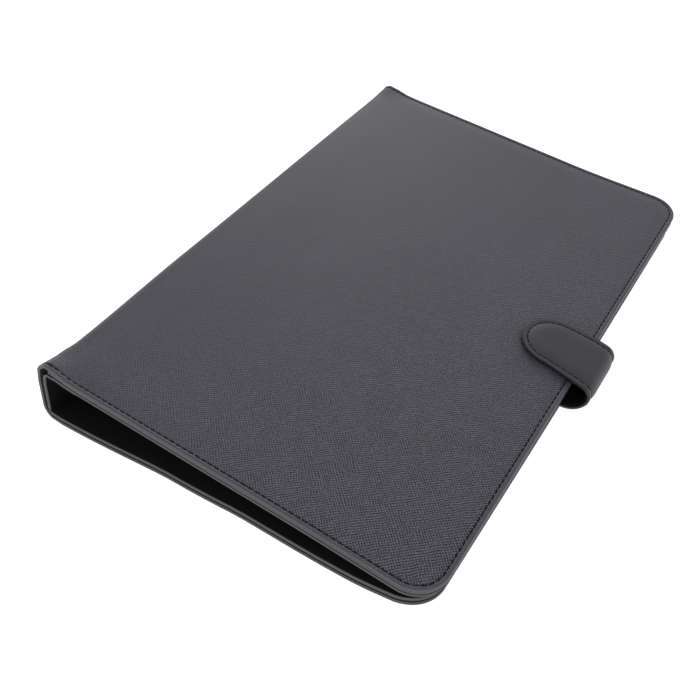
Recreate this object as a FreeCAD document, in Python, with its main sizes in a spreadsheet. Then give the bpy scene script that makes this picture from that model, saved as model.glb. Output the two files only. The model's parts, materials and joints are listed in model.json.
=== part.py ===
"""Tablet keyboard case: a leatherette folio with a keyboard in its base and a strap that closes it.

The case lies closed on Z = 0. X runs along the spine, the spine is at +Y and the strap at -Y.
Every piece is drawn in the case frame, whose origin is the sharp lower edge of the spine: a depth is
the distance from the spine's outer face towards the strap. The base lies flat in that frame. The
spine and the front cover are drawn square to each other and leaned by the wedge angle together.
"""

import math
import os
import re

import FreeCAD, Part
import Sketcher

SIZES = {
    # Covers
    "case_length": 275,
    "cover_width": 180,
    "mouth_gap": 1.8,
    "skin_thick": 1.5,
    "board_thick": 1.5,
    "lining_thick": 1.5,
    "board_inset": 1.5,
    "fold_radius": 5,
    "fold_gap": 0.4,
    "fold_margin": 1.5,
    "corner_radius": 14,
    "crease_depth": 37,
    # Tablet panel
    "panel_side_margin": 10.5,
    "panel_front_margin": 14.5,
    "panel_back": 12.5,
    "panel_thick": 1.6,
    "panel_radius": 10,
    "panel_clearance": 0.3,
    "band_width": 18,
    "band_thick": 0.8,
    "band_reach": 46,
    "band_margin": 5,
    "slit_clearance": 0.15,
    # Closing strap
    "strap_width": 31,
    "strap_offset": 0.4,
    "strap_layer": 1.2,
    "strap_tail": 12,
    "strap_run": 4,
    "strap_drop": 0.95,
    "strap_reach": 29.5,
    "strap_clearance": 0.3,
    "strap_tip_flat": 0.4,
    "magnet_radius": 6,
    "magnet_thick": 0.7,
    "magnet_inset": 13,
    "catch_radius": 8,
    "catch_thick": 0.6,
    # Keyboard housing
    "keyboard_gap": 20,
    "keyboard_side_margin": 14.5,
    "keyboard_radius": 5,
    "tray_floor": 1,
    "tray_wall": 1.4,
    "tray_height": 3.6,
    "frame_thick": 1,
    "bay_depth": 13,
    "plate_thick": 0.5,
    "membrane_thick": 0.3,
    "sheet_thick": 0.3,
    "sheet_margin": 0.5,
    "dome_height": 1.8,
    "dome_radius": 2.4,
    "part_clearance": 0.1,
    # Keys
    "row_pitch": 13,
    "function_pitch": 9.5,
    "key_side_margin": 6,
    "key_front_margin": 2.5,
    "key_room": 0.7,
    "key_gap": 2,
    "key_clearance": 0.3,
    "key_rise": 1,
    "key_wall": 0.9,
    "key_roof": 0.8,
    "key_skirt": 0.1,
    "key_taper": 12,
    "plunger_side": 2,
    # Keyboard fittings
    "screw_radius": 0.7,
    "screw_head_radius": 1.5,
    "screw_head_height": 0.6,
    "screw_length": 1.9,
    "screw_clearance": 0.05,
    "post_radius": 1.8,
    "battery_length": 70,
    "battery_width": 9,
    "battery_thick": 2.2,
    "controller_length": 45,
    "controller_width": 5,
    "controller_thick": 0.8,
    "controller_inset": 35,
    "socket_length": 7.6,
    "socket_depth": 5.6,
    "socket_height": 2.6,
    "socket_wall": 0.35,
    "switch_inset": 31,
    "switch_travel": 3,
    "switch_length": 3,
    "switch_width": 2,
    "switch_flange": 2,
    "switch_flange_thick": 0.8,
    "switch_rise": 0.8,
    "light_inset": 49,
    "light_radius": 1,
    "light_flange": 0.6,
}

# Keys of each row as runs: the first key's place in key units, then the widths that follow it.
ROW_UNITS = 15
LETTER_ROWS = 5
KEY_ROWS = {
    "function_keys": (0, [(0, [1] * 15)]),
    "number_keys": (1, [(0, [1] * 13 + [2])]),
    "upper_letter_keys": (2, [(0, [1.5] + [1] * 12 + [1.5])]),
    "home_letter_keys": (3, [(0, [1.75] + [1] * 11 + [2.25])]),
    "lower_letter_keys": (4, [(0, [2.25] + [1] * 10 + [2.75])]),
    "modifier_keys": (5, [(0, [1, 1, 1, 1.25]), (10, [1] * 5)]),
    "space_bar": (5, [(4.25, [5.75])]),
}
DOME_SIDES = 6
SCREW_SIDES = 12

doc = FreeCAD.newDocument("tablet_keyboard_case")
sheet = doc.addObject("Spreadsheet::Sheet", "Sizes")
for row, (alias, number) in enumerate(SIZES.items(), start=1):
    sheet.set(f"A{row}", str(number))
    sheet.setAlias(f"A{row}", alias)
doc.recompute()

NODES = []


def named(text):
    """The expression with each size's name turned into its place in the sheet."""
    return re.sub(r"[a-z_]+", lambda m: f"Sizes.{m[0]}" if m[0] in SIZES else m[0], text)


def value(text):
    """What an expression of sizes comes to."""
    return float(sheet.evalExpression(named(text)))


def bind(item, prop, text):
    """Ties a property to an expression of sizes."""
    item.setExpression(prop, named(text))


COVER = "(skin_thick + board_thick + lining_thick)"
PANEL_LENGTH = "(case_length - 2 * panel_side_margin)"
PANEL_FRONT = "(cover_width - panel_front_margin)"
STRAP_TIP = "(cover_width - strap_reach)"
STRAP_MIDDLE_LIFT = "(strap_clearance + strap_layer)"
KEYBOARD_LENGTH = "(case_length - 2 * keyboard_side_margin)"
KEY_FIELD = f"({KEYBOARD_LENGTH} - 2 * key_side_margin)"
CONTROLLER_MIDDLE = f"(controller_inset - {KEYBOARD_LENGTH} / 2)"
SWITCH_MIDDLE = f"({KEYBOARD_LENGTH} / 2 - switch_inset)"
LIGHT_MIDDLE = f"({KEYBOARD_LENGTH} / 2 - light_inset)"
KEYBOARD_BACK = f"({COVER} + keyboard_gap)"
BAY_MIDDLE = f"({KEYBOARD_BACK} + bay_depth / 2)"
FIELD_BACK = f"({KEYBOARD_BACK} + bay_depth)"
FIELD_FRONT = f"({FIELD_BACK} + function_pitch + {LETTER_ROWS} * row_pitch)"
KEYBOARD_FRONT = f"({FIELD_FRONT} + key_front_margin)"


class Heights:
    """Heights of the flat frame that several pieces share, as expressions of sizes."""

    board = "skin_thick"
    lining = "(skin_thick + board_thick)"
    tray = COVER
    tray_inside = f"({COVER} + tray_floor)"
    membrane = f"({tray_inside} + plate_thick)"
    dome_sheet = f"({membrane} + membrane_thick)"
    domes = f"({dome_sheet} + sheet_thick)"
    frame = f"({COVER} + tray_height)"
    frame_top = f"({frame} + frame_thick)"
    key_base = f"({frame} - key_skirt)"
    key_top = f"({frame_top} + key_rise)"


# The front cover leans so that its bands clear the keys, and the spine is as wide as that lean needs.
ROOM_NEEDED = f"({Heights.key_top} + key_room + band_thick + panel_thick - {COVER} - mouth_gap)"
WEDGE_ANGLE = f"atan({ROOM_NEEDED} / (cover_width - {KEYBOARD_FRONT}))"
SPINE_WIDTH = f"({COVER} + ({COVER} + mouth_gap + cover_width * sin({WEDGE_ANGLE})) / cos({WEDGE_ANGLE}))"
LEAN = math.radians(value(WEDGE_ANGLE))
LOWER_TANGENT = f"(fold_radius * tan(45 deg + {WEDGE_ANGLE} / 2))"


class LidHeights:
    """Heights of the leaned frame that several pieces share, as expressions of sizes."""

    skin = f"({SPINE_WIDTH} - skin_thick)"
    board = f"({skin} - board_thick)"
    lining = f"({board} - lining_thick)"
    panel = f"({lining} - panel_thick)"
    band = f"({panel} - band_thick)"


def body(label, leaned=False):
    """A new piece of the case, lying flat with the base or leaned with the spine and front cover."""
    made = doc.addObject("PartDesign::Body", label)
    made.Label = label
    made.AllowCompound = True
    if leaned:
        made.Placement = FreeCAD.Placement(FreeCAD.Vector(), FreeCAD.Rotation(FreeCAD.Vector(1, 0, 0), 1))
        bind(made, "Placement.Rotation.Angle", WEDGE_ANGLE)
    bind(made, "Placement.Base.y", "cover_width / 2")
    NODES.append(made)
    return made


def sketch(piece, name, role="XY_Plane", height="0", shift="0"):
    """A sketch on one of the piece's own planes, raised by height and shifted along X."""
    plane = next(part for part in piece.Origin.OriginFeatures if part.Role == role)
    made = piece.newObject("Sketcher::SketchObject", f"{piece.Label}_{name}")
    made.AttachmentSupport = [(plane, "")]
    made.MapMode = "FlatFace"
    bind(made, "AttachmentOffset.Base.z", height)
    bind(made, "AttachmentOffset.Base.x", shift)
    return made


def pad(piece, profile, length, taper=None, both_ways=False):
    """Extrudes a sketch along its normal."""
    made = piece.newObject("PartDesign::Pad", f"{profile.Label}_pad")
    made.Profile = profile
    bind(made, "Length", length)
    if taper:
        bind(made, "TaperAngle", taper)
    if both_ways:
        made.SideType = "Symmetric"
    doc.recompute()
    return made


def pocket(piece, profile, length, upwards=False):
    """Cuts a sketch into the piece from above or from below, and makes sure that it cut something."""
    before = piece.Shape.Volume
    made = piece.newObject("PartDesign::Pocket", f"{profile.Label}_pocket")
    made.Profile = profile
    made.Reversed = upwards
    bind(made, "Length", length)
    doc.recompute()
    if not piece.Shape.Volume < before:
        raise RuntimeError(f"{profile.Label} cuts nothing")
    return made


def dimension(profile, name, text, kind, *places):
    """Adds a dimension whose value is an expression of sizes."""
    index = profile.addConstraint(Sketcher.Constraint(kind, *places, value(text)))
    profile.renameConstraint(index, name)
    bind(profile, f"Constraints.{name}", text)


def rectangle(profile, width, back, front, back_radius=None, front_radius=None):
    """A rectangle across the sketch's middle, from one depth to another, with rounded corners if asked."""
    half, near, far = value(width) / 2, -value(back), -value(front)
    corners = [(-half, near), (half, near), (half, far), (-half, far)]
    radii = [back_radius, back_radius, front_radius, front_radius]
    cut = [value(radius) if radius else 0 for radius in radii]
    along = [(1, 0), (0, -1), (-1, 0), (0, 1)]
    start, end = 1, 2
    lines = []
    for side, (dx, dy) in enumerate(along):
        (ax, ay), (bx, by) = corners[side], corners[(side + 1) % 4]
        here, there = cut[side], cut[(side + 1) % 4]
        first = FreeCAD.Vector(ax + dx * here, ay + dy * here)
        last = FreeCAD.Vector(bx - dx * there, by - dy * there)
        lines.append(profile.addGeometry(Part.LineSegment(first, last)))
    for side in range(4):
        profile.addConstraint(Sketcher.Constraint("Vertical" if side % 2 else "Horizontal", lines[side]))
    first_arc = {}
    for corner in range(4):
        before, after = lines[corner - 1], lines[corner]
        if not radii[corner]:
            profile.addConstraint(Sketcher.Constraint("Coincident", before, end, after, start))
            continue
        x, y = corners[corner]
        inwards = -1 if corner < 2 else 1
        centre = FreeCAD.Vector(x - math.copysign(cut[corner], x), y + inwards * cut[corner])
        turn = {0: 90, 1: 0, 2: 270, 3: 180}[corner]
        circle = Part.Circle(centre, FreeCAD.Vector(0, 0, 1), cut[corner])
        arc = profile.addGeometry(Part.ArcOfCircle(circle, math.radians(turn), math.radians(turn + 90)))
        profile.addConstraint(Sketcher.Constraint("Tangent", before, end, arc, end))
        profile.addConstraint(Sketcher.Constraint("Tangent", after, start, arc, start))
        if radii[corner] in first_arc:
            profile.addConstraint(Sketcher.Constraint("Equal", first_arc[radii[corner]], arc))
        else:
            first_arc[radii[corner]] = arc
            dimension(profile, f"radius_{corner}", radii[corner], "Radius", arc)
    back_line, right, front_line, left = lines
    dimension(profile, "left", f"({width}) / 2", "DistanceX", left, end, -1, 1)
    dimension(profile, "right", f"({width}) / 2", "DistanceX", -1, 1, right, start)
    dimension(profile, "back", back, "DistanceY", back_line, start, -1, 1)
    dimension(profile, "front", front, "DistanceY", front_line, start, -1, 1)


def polygons(profile, outlines):
    """Closed outlines of straight sides, each a list of points in millimetres."""
    sides = []
    for points in outlines:
        corners = [FreeCAD.Vector(x, y) for x, y in points]
        sides += [Part.LineSegment(first, last) for first, last in zip(corners, corners[1:] + corners[:1])]
    profile.addGeometry(sides)


def boxes(profile, places):
    """Rectangles anywhere in the sketch, each given as its left, right, back and front sides."""
    polygons(profile, [[(left, -back), (right, -back), (right, -front), (left, -front)]
                       for left, right, back, front in places])


def circle(profile, x, depth, radius):
    """A circle whose radius is an expression of sizes."""
    centre = FreeCAD.Vector(x, -depth)
    index = profile.addGeometry(Part.Circle(centre, FreeCAD.Vector(0, 0, 1), value(radius)))
    dimension(profile, f"radius_{index}", radius, "Radius", index)


def ring_sector(profile, centre, outer, inner, first, last):
    """Part of a ring between two angles in degrees, drawn across the case."""
    middle = FreeCAD.Vector(*centre)
    first, last = math.radians(first), math.radians(last)
    rings = [Part.Circle(middle, FreeCAD.Vector(0, 0, 1), radius) for radius in (outer, inner)]
    for ring in rings:
        profile.addGeometry(Part.ArcOfCircle(ring, first, last))
    for angle in (first, last):
        ends = [ring.value(angle) for ring in rings]
        profile.addGeometry(Part.LineSegment(*ends))


def fold(piece, name, centre, first, last):
    """The rounded half of a fold that belongs to this piece's skin."""
    profile = sketch(piece, name, "YZ_Plane")
    radius = value("fold_radius")
    ring_sector(profile, centre, radius, radius - value("skin_thick"), first, last)
    pad(piece, profile, "case_length", both_ways=True)


def plate(label, width, back, front, height, thick, leaned=False, back_radius=None, front_radius=None):
    """A flat piece between two depths, at a height."""
    piece = body(label, leaned)
    profile = sketch(piece, "outline", height=height)
    rectangle(profile, width, back, front, back_radius, front_radius)
    pad(piece, profile, thick)
    return piece


HALF_GAP = math.degrees(value("fold_gap") / value("fold_radius") / 2)
LOWER_HALF_TURN = 45 + math.degrees(LEAN) / 2


def base_cover():
    """The cover that lies on the table: skin with its half of the lower fold, board and lining."""
    skin = plate("base_cover_skin", "case_length", LOWER_TANGENT, "cover_width", "0", "skin_thick",
                 front_radius="corner_radius")
    centre = (-value(LOWER_TANGENT), value("fold_radius"))
    fold(skin, "lower_fold", centre, -90, -90 + LOWER_HALF_TURN - HALF_GAP)

    board = plate("base_cover_board", "case_length - 2 * board_inset", f"{LOWER_TANGENT} + fold_margin",
                  "cover_width - board_inset", Heights.board, "board_thick",
                  front_radius="corner_radius - board_inset")
    notch = sketch(board, "strap_notch", height=Heights.lining, shift="strap_offset")
    rectangle(notch, "strap_width + 2 * strap_clearance", "cover_width - strap_tail - strap_clearance",
              "cover_width")
    pocket(board, notch, "board_thick")

    plate("base_cover_lining", "case_length", f"{COVER} + 2 * fold_margin", "cover_width",
          Heights.lining, "lining_thick", front_radius="corner_radius")


def spine():
    """The back of the case: skin with its halves of both folds, board and lining."""
    skin = body("spine_skin", leaned=True)
    face = sketch(skin, "face", "YZ_Plane")
    tangent, top = value(LOWER_TANGENT), value(f"{SPINE_WIDTH} - fold_radius")
    inner = -value("skin_thick")
    polygons(face, [[(0, tangent), (0, top), (inner, top), (inner, tangent)]])
    pad(skin, face, "case_length", both_ways=True)
    radius = value("fold_radius")
    fold(skin, "lower_fold", (-radius, tangent), -LOWER_HALF_TURN + HALF_GAP, 0)
    fold(skin, "upper_fold", (-radius, top), 0, 45 - HALF_GAP)

    height = f"{SPINE_WIDTH} - fold_radius - {LOWER_TANGENT} - 2 * board_inset"
    foot = f"{LOWER_TANGENT} + board_inset"
    plate("spine_board", "case_length - 2 * board_inset", "skin_thick", "skin_thick + board_thick",
          foot, height, leaned=True)
    plate("spine_lining", "case_length", "skin_thick + board_thick", COVER, foot, height, leaned=True)


def stand_panel():
    """The strip of the front cover between the spine and the crease, on which the tablet leans back."""
    skin = plate("stand_panel_skin", "case_length", "fold_radius", "crease_depth - fold_gap / 2",
                 LidHeights.skin, "skin_thick", leaned=True)
    radius = value("fold_radius")
    fold(skin, "upper_fold", (-radius, value(SPINE_WIDTH) - radius), 45 + HALF_GAP, 90)

    plate("stand_panel_board", "case_length - 2 * board_inset", "fold_radius + fold_margin",
          "crease_depth - fold_margin", LidHeights.board, "board_thick", leaned=True)
    plate("stand_panel_lining", "case_length", f"{COVER} + fold_margin", "crease_depth - fold_margin",
          f"{LidHeights.lining} + panel_clearance", "lining_thick - panel_clearance", leaned=True)


def front_cover():
    """The rest of the front cover, with the steel plate that the strap's magnet holds on to."""
    plate("front_cover_skin", "case_length", "crease_depth + fold_gap / 2", "cover_width",
          LidHeights.skin, "skin_thick", leaned=True, front_radius="corner_radius")
    board = plate("front_cover_board", "case_length - 2 * board_inset", "crease_depth + fold_margin",
                  "cover_width - board_inset", LidHeights.board, "board_thick", leaned=True,
                  front_radius="corner_radius - board_inset")
    plate("front_cover_lining", "case_length", "crease_depth + fold_margin", "cover_width",
          LidHeights.lining, "lining_thick", leaned=True, front_radius="corner_radius")

    depth = value(f"{STRAP_TIP} + magnet_inset")
    seat = sketch(board, "catch_seat", height=LidHeights.skin, shift="strap_offset")
    circle(seat, 0, depth, "catch_radius + part_clearance")
    pocket(board, seat, "catch_thick")
    plate_disc = body("catch_plate", leaned=True)
    disc = sketch(plate_disc, "disc", height=f"{LidHeights.skin} - catch_thick", shift="strap_offset")
    circle(disc, 0, depth, "catch_radius")
    pad(plate_disc, disc, "catch_thick")


def band_corners():
    """Each corner of the tablet panel: its name, its place, and the way from it along X and along depth."""
    side = value(PANEL_LENGTH) / 2
    back, front = value("panel_back"), value(PANEL_FRONT)
    return {
        "corner_band_back_left": (-side, back, 1, 1),
        "corner_band_back_right": (side, back, -1, 1),
        "corner_band_front_left": (-side, front, 1, -1),
        "corner_band_front_right": (side, front, -1, -1),
    }


def band_feet(corner, grow):
    """The two ends of a band where they go down through the panel, along its two edges."""
    x, depth, across, along = corner
    margin, thick = value("band_margin"), value("band_thick")
    near = value("band_reach - band_margin")
    far = near + value("band_width") * math.sqrt(2)
    low, high = margin - grow, margin + thick + grow
    near, far = near - grow, far + grow
    return [
        sorted([x + across * low, x + across * high]) + sorted([depth + along * near, depth + along * far]),
        sorted([x + across * near, x + across * far]) + sorted([depth + along * low, depth + along * high]),
    ]


def tablet_panel():
    """The covered board that the tablet lies on, with an elastic band across each corner."""
    panel = plate("tablet_panel", PANEL_LENGTH, "panel_back", PANEL_FRONT, LidHeights.panel, "panel_thick",
                  leaned=True, back_radius="panel_radius", front_radius="panel_radius")
    slits = sketch(panel, "slits", height=LidHeights.lining)
    grow = value("slit_clearance")
    boxes(slits, [foot for corner in band_corners().values() for foot in band_feet(corner, grow)])
    pocket(panel, slits, "panel_thick")

    margin = value("band_margin")
    near = value("band_reach - band_margin")
    far = near + value("band_width") * math.sqrt(2)
    for label, corner in band_corners().items():
        x, depth, across, along = corner
        band = body(label, leaned=True)
        strip = sketch(band, "strip", height=LidHeights.band)
        outline = [(margin, near), (margin, far), (far, margin), (near, margin)]
        polygons(strip, [[(x + across * u, -(depth + along * v)) for u, v in outline]])
        pad(band, strip, "band_thick")
        feet = sketch(band, "feet", height=LidHeights.panel)
        boxes(feet, band_feet(corner, 0))
        pad(band, feet, "panel_thick")


class StrapBend:
    """The round bend of the strap in front of the case, worked out across the case frame."""

    thick = 2 * value("strap_layer")
    run_depth = value("cover_width + strap_run")
    seam = value("skin_thick + board_thick / 2")
    low = seam - value("strap_drop")
    lean_y, lean_z = math.cos(LEAN), math.sin(LEAN)
    # How far the strap's middle lies from the lid's top plane, which passes above the base by the spine
    lift = value(f"{SPINE_WIDTH} + {STRAP_MIDDLE_LIFT}")
    radius = (lift - low * lean_y - run_depth * lean_z) / (1 + lean_y)
    centre = (-run_depth, low + radius)
    turn_end = 90 + math.degrees(LEAN)


def strap():
    """The closing strap: its root in the base's seam, then the tongue that lies on the front cover."""
    layer, tail = value("strap_layer"), value("strap_tail")
    edge = value("cover_width")
    outer, inner = StrapBend.radius + layer, StrapBend.radius - layer
    half_gap = math.degrees(value("fold_gap") / 2 / StrapBend.radius)

    root = body("strap_root")
    seam = sketch(root, "seam", height=Heights.board, shift="strap_offset")
    rectangle(seam, "strap_width", "cover_width - strap_tail", "cover_width")
    pad(root, seam, "board_thick")
    run = sketch(root, "run", "YZ_Plane", height="strap_offset")
    ends = ((-edge, StrapBend.seam), (-StrapBend.run_depth, StrapBend.low))
    (seam_low, seam_high), (bend_low, bend_high) = [[(y, z - layer), (y, z + layer)] for y, z in ends]
    polygons(run, [[seam_low, seam_high, bend_high, bend_low]])
    pad(root, run, "strap_width", both_ways=True)
    bend = sketch(root, "bend", "YZ_Plane", height="strap_offset")
    ring_sector(bend, StrapBend.centre, outer, inner, 180 + half_gap, 270)
    pad(root, bend, "strap_width", both_ways=True)

    skin = tongue_layer("strap_tongue_skin", StrapBend.radius, outer, half_gap)
    lining = tongue_layer("strap_tongue_lining", inner, StrapBend.radius, half_gap)
    return skin, lining


def leaned_point(depth, height):
    """A point of the leaned frame, in the flat frame."""
    y = -depth * math.cos(LEAN) - height * math.sin(LEAN)
    z = -depth * math.sin(LEAN) + height * math.cos(LEAN)
    return y, z


def tongue_layer(label, inner, outer, half_gap):
    """One layer of the strap's upper bend and tongue, with a rounded tip."""
    piece = body(label)
    bend = sketch(piece, "bend", "YZ_Plane", height="strap_offset")
    ring_sector(bend, StrapBend.centre, outer, inner, StrapBend.turn_end, 180 - half_gap)
    pad(piece, bend, "strap_width", both_ways=True)

    tip = value(STRAP_TIP)
    across = (math.cos(math.radians(StrapBend.turn_end)), math.sin(math.radians(StrapBend.turn_end)))
    start_low, start_high = [tuple(c + radius * a for c, a in zip(StrapBend.centre, across))
                             for radius in (inner, outer)]
    middle = StrapBend.lift
    end_low, end_high = [leaned_point(tip, middle + radius - StrapBend.radius) for radius in (inner, outer)]
    tongue = sketch(piece, "tongue", "YZ_Plane", height="strap_offset")
    polygons(tongue, [[start_low, end_low, end_high, start_high]])
    made = pad(piece, tongue, "strap_width", both_ways=True)
    ends = []
    for number, edge in enumerate(piece.Shape.Edges, start=1):
        depth = -edge.CenterOfMass.y + value("cover_width / 2")
        across_strap = abs(edge.Vertexes[0].X - edge.Vertexes[-1].X) > value("strap_layer")
        if depth < tip + value("strap_width") and not across_strap and edge.Length < 2 * value("strap_layer"):
            ends.append(f"Edge{number}")
    rounded = piece.newObject("PartDesign::Fillet", f"{label}_tip")
    rounded.Base = (made, ends)
    bind(rounded, "Radius", "(strap_width - strap_tip_flat) / 2")
    doc.recompute()
    return piece


def strap_magnet(lining):
    """The disc magnet let into the tongue's lining, over the catch plate."""
    seat_top = leaned_point(value(f"{STRAP_TIP} + magnet_inset"), StrapBend.lift)
    turn = FreeCAD.Rotation(FreeCAD.Vector(1, 0, 0), math.degrees(LEAN))
    place = FreeCAD.Placement(FreeCAD.Vector(value("strap_offset"), *seat_top), turn)
    seat = sketch(lining, "magnet_seat")
    seat.setExpression("AttachmentOffset.Base.z", None)
    seat.setExpression("AttachmentOffset.Base.x", None)
    seat.AttachmentOffset = place
    circle(seat, 0, 0, "magnet_radius + part_clearance")
    pocket(lining, seat, "magnet_thick")

    magnet = body("strap_magnet")
    disc = sketch(magnet, "disc")
    disc.setExpression("AttachmentOffset.Base.z", None)
    disc.setExpression("AttachmentOffset.Base.x", None)
    disc.AttachmentOffset = place
    circle(disc, 0, 0, "magnet_radius")
    made = pad(magnet, disc, "magnet_thick")
    made.Reversed = True


def key_places(label):
    """Each key of a row, as its left, right, back and front sides."""
    row, runs = KEY_ROWS[label]
    gap, pitch = value("key_gap"), value(KEY_FIELD) / ROW_UNITS
    back = value(FIELD_BACK) + (value("function_pitch") + (row - 1) * value("row_pitch") if row else 0)
    front = back + value("row_pitch" if row else "function_pitch")
    places = []
    for first, widths in runs:
        left = (first - ROW_UNITS / 2) * pitch
        for width in widths:
            right = left + width * pitch
            places.append((left + gap / 2, right - gap / 2, back + gap / 2, front - gap / 2))
            left = right
    return places


def all_keys():
    """The places of every key of the keyboard."""
    return [place for label in KEY_ROWS for place in key_places(label)]


def grown(place, by):
    """A key's place with each side moved outwards."""
    left, right, back, front = place
    return left - by, right + by, back - by, front + by


def middles(places):
    """The middle of each key, as X and depth."""
    return [((left + right) / 2, (back + front) / 2) for left, right, back, front in places]


def keys():
    """Tapered hollow caps in rows, each with a plunger that stands on its dome."""
    for label in KEY_ROWS:
        places = key_places(label)
        row = body(label)
        caps = sketch(row, "caps", height=Heights.key_base)
        boxes(caps, places)
        height = f"({Heights.key_top} - {Heights.key_base})"
        pad(row, caps, height, taper="-key_taper")
        wall = value("key_wall") + value(height) * math.tan(math.radians(value("key_taper")))
        hollows = sketch(row, "hollows", height=Heights.key_base)
        boxes(hollows, [grown(place, -wall) for place in places])
        pocket(row, hollows, f"{height} - key_roof", upwards=True)
        plungers = sketch(row, "plungers", height=f"{Heights.domes} + dome_height")
        half = value("plunger_side") / 2
        boxes(plungers, [(x - half, x + half, depth - half, depth + half) for x, depth in middles(places)])
        pad(row, plungers, f"{Heights.key_top} - key_roof - {Heights.domes} - dome_height")


def screw_places():
    """Where the six screws stand, along the two short sides of the keyboard."""
    x = value(f"{KEYBOARD_LENGTH} / 2 - (tray_wall + key_side_margin + sheet_margin) / 2")
    back = value(f"{KEYBOARD_BACK} + keyboard_radius + post_radius")
    front = value(f"{KEYBOARD_FRONT} - keyboard_radius - post_radius")
    return [(side * x, depth) for side in (-1, 1) for depth in (back, (back + front) / 2, front)]


def rounds(piece, name, height, places, radius, sides=SCREW_SIDES):
    """A sketch with a round of few sides at each place, for what repeats."""
    profile = sketch(piece, name, height=height)
    reach = value(radius)
    turns = [2 * math.pi * (side + 0.5) / sides for side in range(sides)]
    polygons(profile, [[(x + reach * math.cos(turn), reach * math.sin(turn) - depth) for turn in turns]
                       for x, depth in places])
    return profile


def keyboard_tray():
    """The lower shell of the keyboard, glued to the base's lining."""
    tray = plate("keyboard_tray", KEYBOARD_LENGTH, KEYBOARD_BACK, KEYBOARD_FRONT, Heights.tray, "tray_height",
                 back_radius="keyboard_radius", front_radius="keyboard_radius")
    inside = sketch(tray, "inside", height=Heights.frame)
    rectangle(inside, f"{KEYBOARD_LENGTH} - 2 * tray_wall", f"{KEYBOARD_BACK} + tray_wall",
              f"{KEYBOARD_FRONT} - tray_wall", "keyboard_radius - tray_wall", "keyboard_radius - tray_wall")
    pocket(tray, inside, "tray_height - tray_floor")
    mouth = sketch(tray, "socket_mouth", height=Heights.frame, shift=CONTROLLER_MIDDLE)
    rectangle(mouth, "socket_length + 2 * part_clearance", KEYBOARD_BACK, f"{KEYBOARD_BACK} + 2 * tray_wall")
    pocket(tray, mouth, "tray_height - tray_floor")
    places = screw_places()
    heads = rounds(tray, "screw_heads", Heights.tray, places, "screw_head_radius + part_clearance")
    pocket(tray, heads, "screw_head_height", upwards=True)
    holes = rounds(tray, "screw_holes", Heights.tray, places, "screw_radius + screw_clearance")
    pocket(tray, holes, "tray_floor", upwards=True)


def keyboard_frame():
    """The top of the keyboard, with posts for the screws and a window for each key."""
    frame = plate("keyboard_frame", KEYBOARD_LENGTH, KEYBOARD_BACK, KEYBOARD_FRONT, Heights.frame,
                  "frame_thick", back_radius="keyboard_radius", front_radius="keyboard_radius")
    places = screw_places()
    posts = rounds(frame, "posts", Heights.tray_inside, places, "post_radius")
    pad(frame, posts, f"{Heights.frame} - {Heights.tray_inside}")
    holes = rounds(frame, "post_holes", Heights.tray_inside, places, "screw_radius + screw_clearance")
    pocket(frame, holes, "screw_length", upwards=True)
    slot = sketch(frame, "switch_slot", height=Heights.frame_top, shift=f"{SWITCH_MIDDLE} + switch_travel / 2")
    rectangle(slot, "switch_length + switch_travel + 2 * part_clearance",
              f"{BAY_MIDDLE} - switch_width / 2 - part_clearance",
              f"{BAY_MIDDLE} + switch_width / 2 + part_clearance")
    pocket(frame, slot, "frame_thick")
    light = [(value(LIGHT_MIDDLE), value(BAY_MIDDLE))]
    pocket(frame, rounds(frame, "light_hole", Heights.frame_top, light, "light_radius + part_clearance"),
           "frame_thick")
    windows = sketch(frame, "windows", height=Heights.frame_top)
    grow = value("key_clearance")
    boxes(windows, [grown(place, grow) for place in all_keys()])
    pocket(frame, windows, "frame_thick")


def keyboard_screws():
    """Six screws that go up through the tray into the frame's posts."""
    screws = body("keyboard_screws")
    places = screw_places()
    pad(screws, rounds(screws, "heads", Heights.tray, places, "screw_head_radius"), "screw_head_height")
    shank_base = f"{Heights.tray} + screw_head_height"
    pad(screws, rounds(screws, "shanks", shank_base, places, "screw_radius"), "screw_length")


def keyboard_sheets():
    """The layers under the keys: support plate, membrane, and the sheet with a rubber dome for each key."""
    width = f"{KEY_FIELD} - 2 * sheet_margin"
    back, front = f"{FIELD_BACK} + sheet_margin", f"{FIELD_FRONT} - sheet_margin"
    plate("keyboard_support_plate", width, back, front, Heights.tray_inside, "plate_thick")
    plate("keyboard_membrane", width, back, front, Heights.membrane, "membrane_thick")
    sheet_piece = plate("keyboard_dome_sheet", width, back, front, Heights.dome_sheet, "sheet_thick")
    domes = rounds(sheet_piece, "domes", Heights.domes, middles(all_keys()), "dome_radius", DOME_SIDES)
    pad(sheet_piece, domes, "dome_height", taper="-2 * key_taper")


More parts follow.
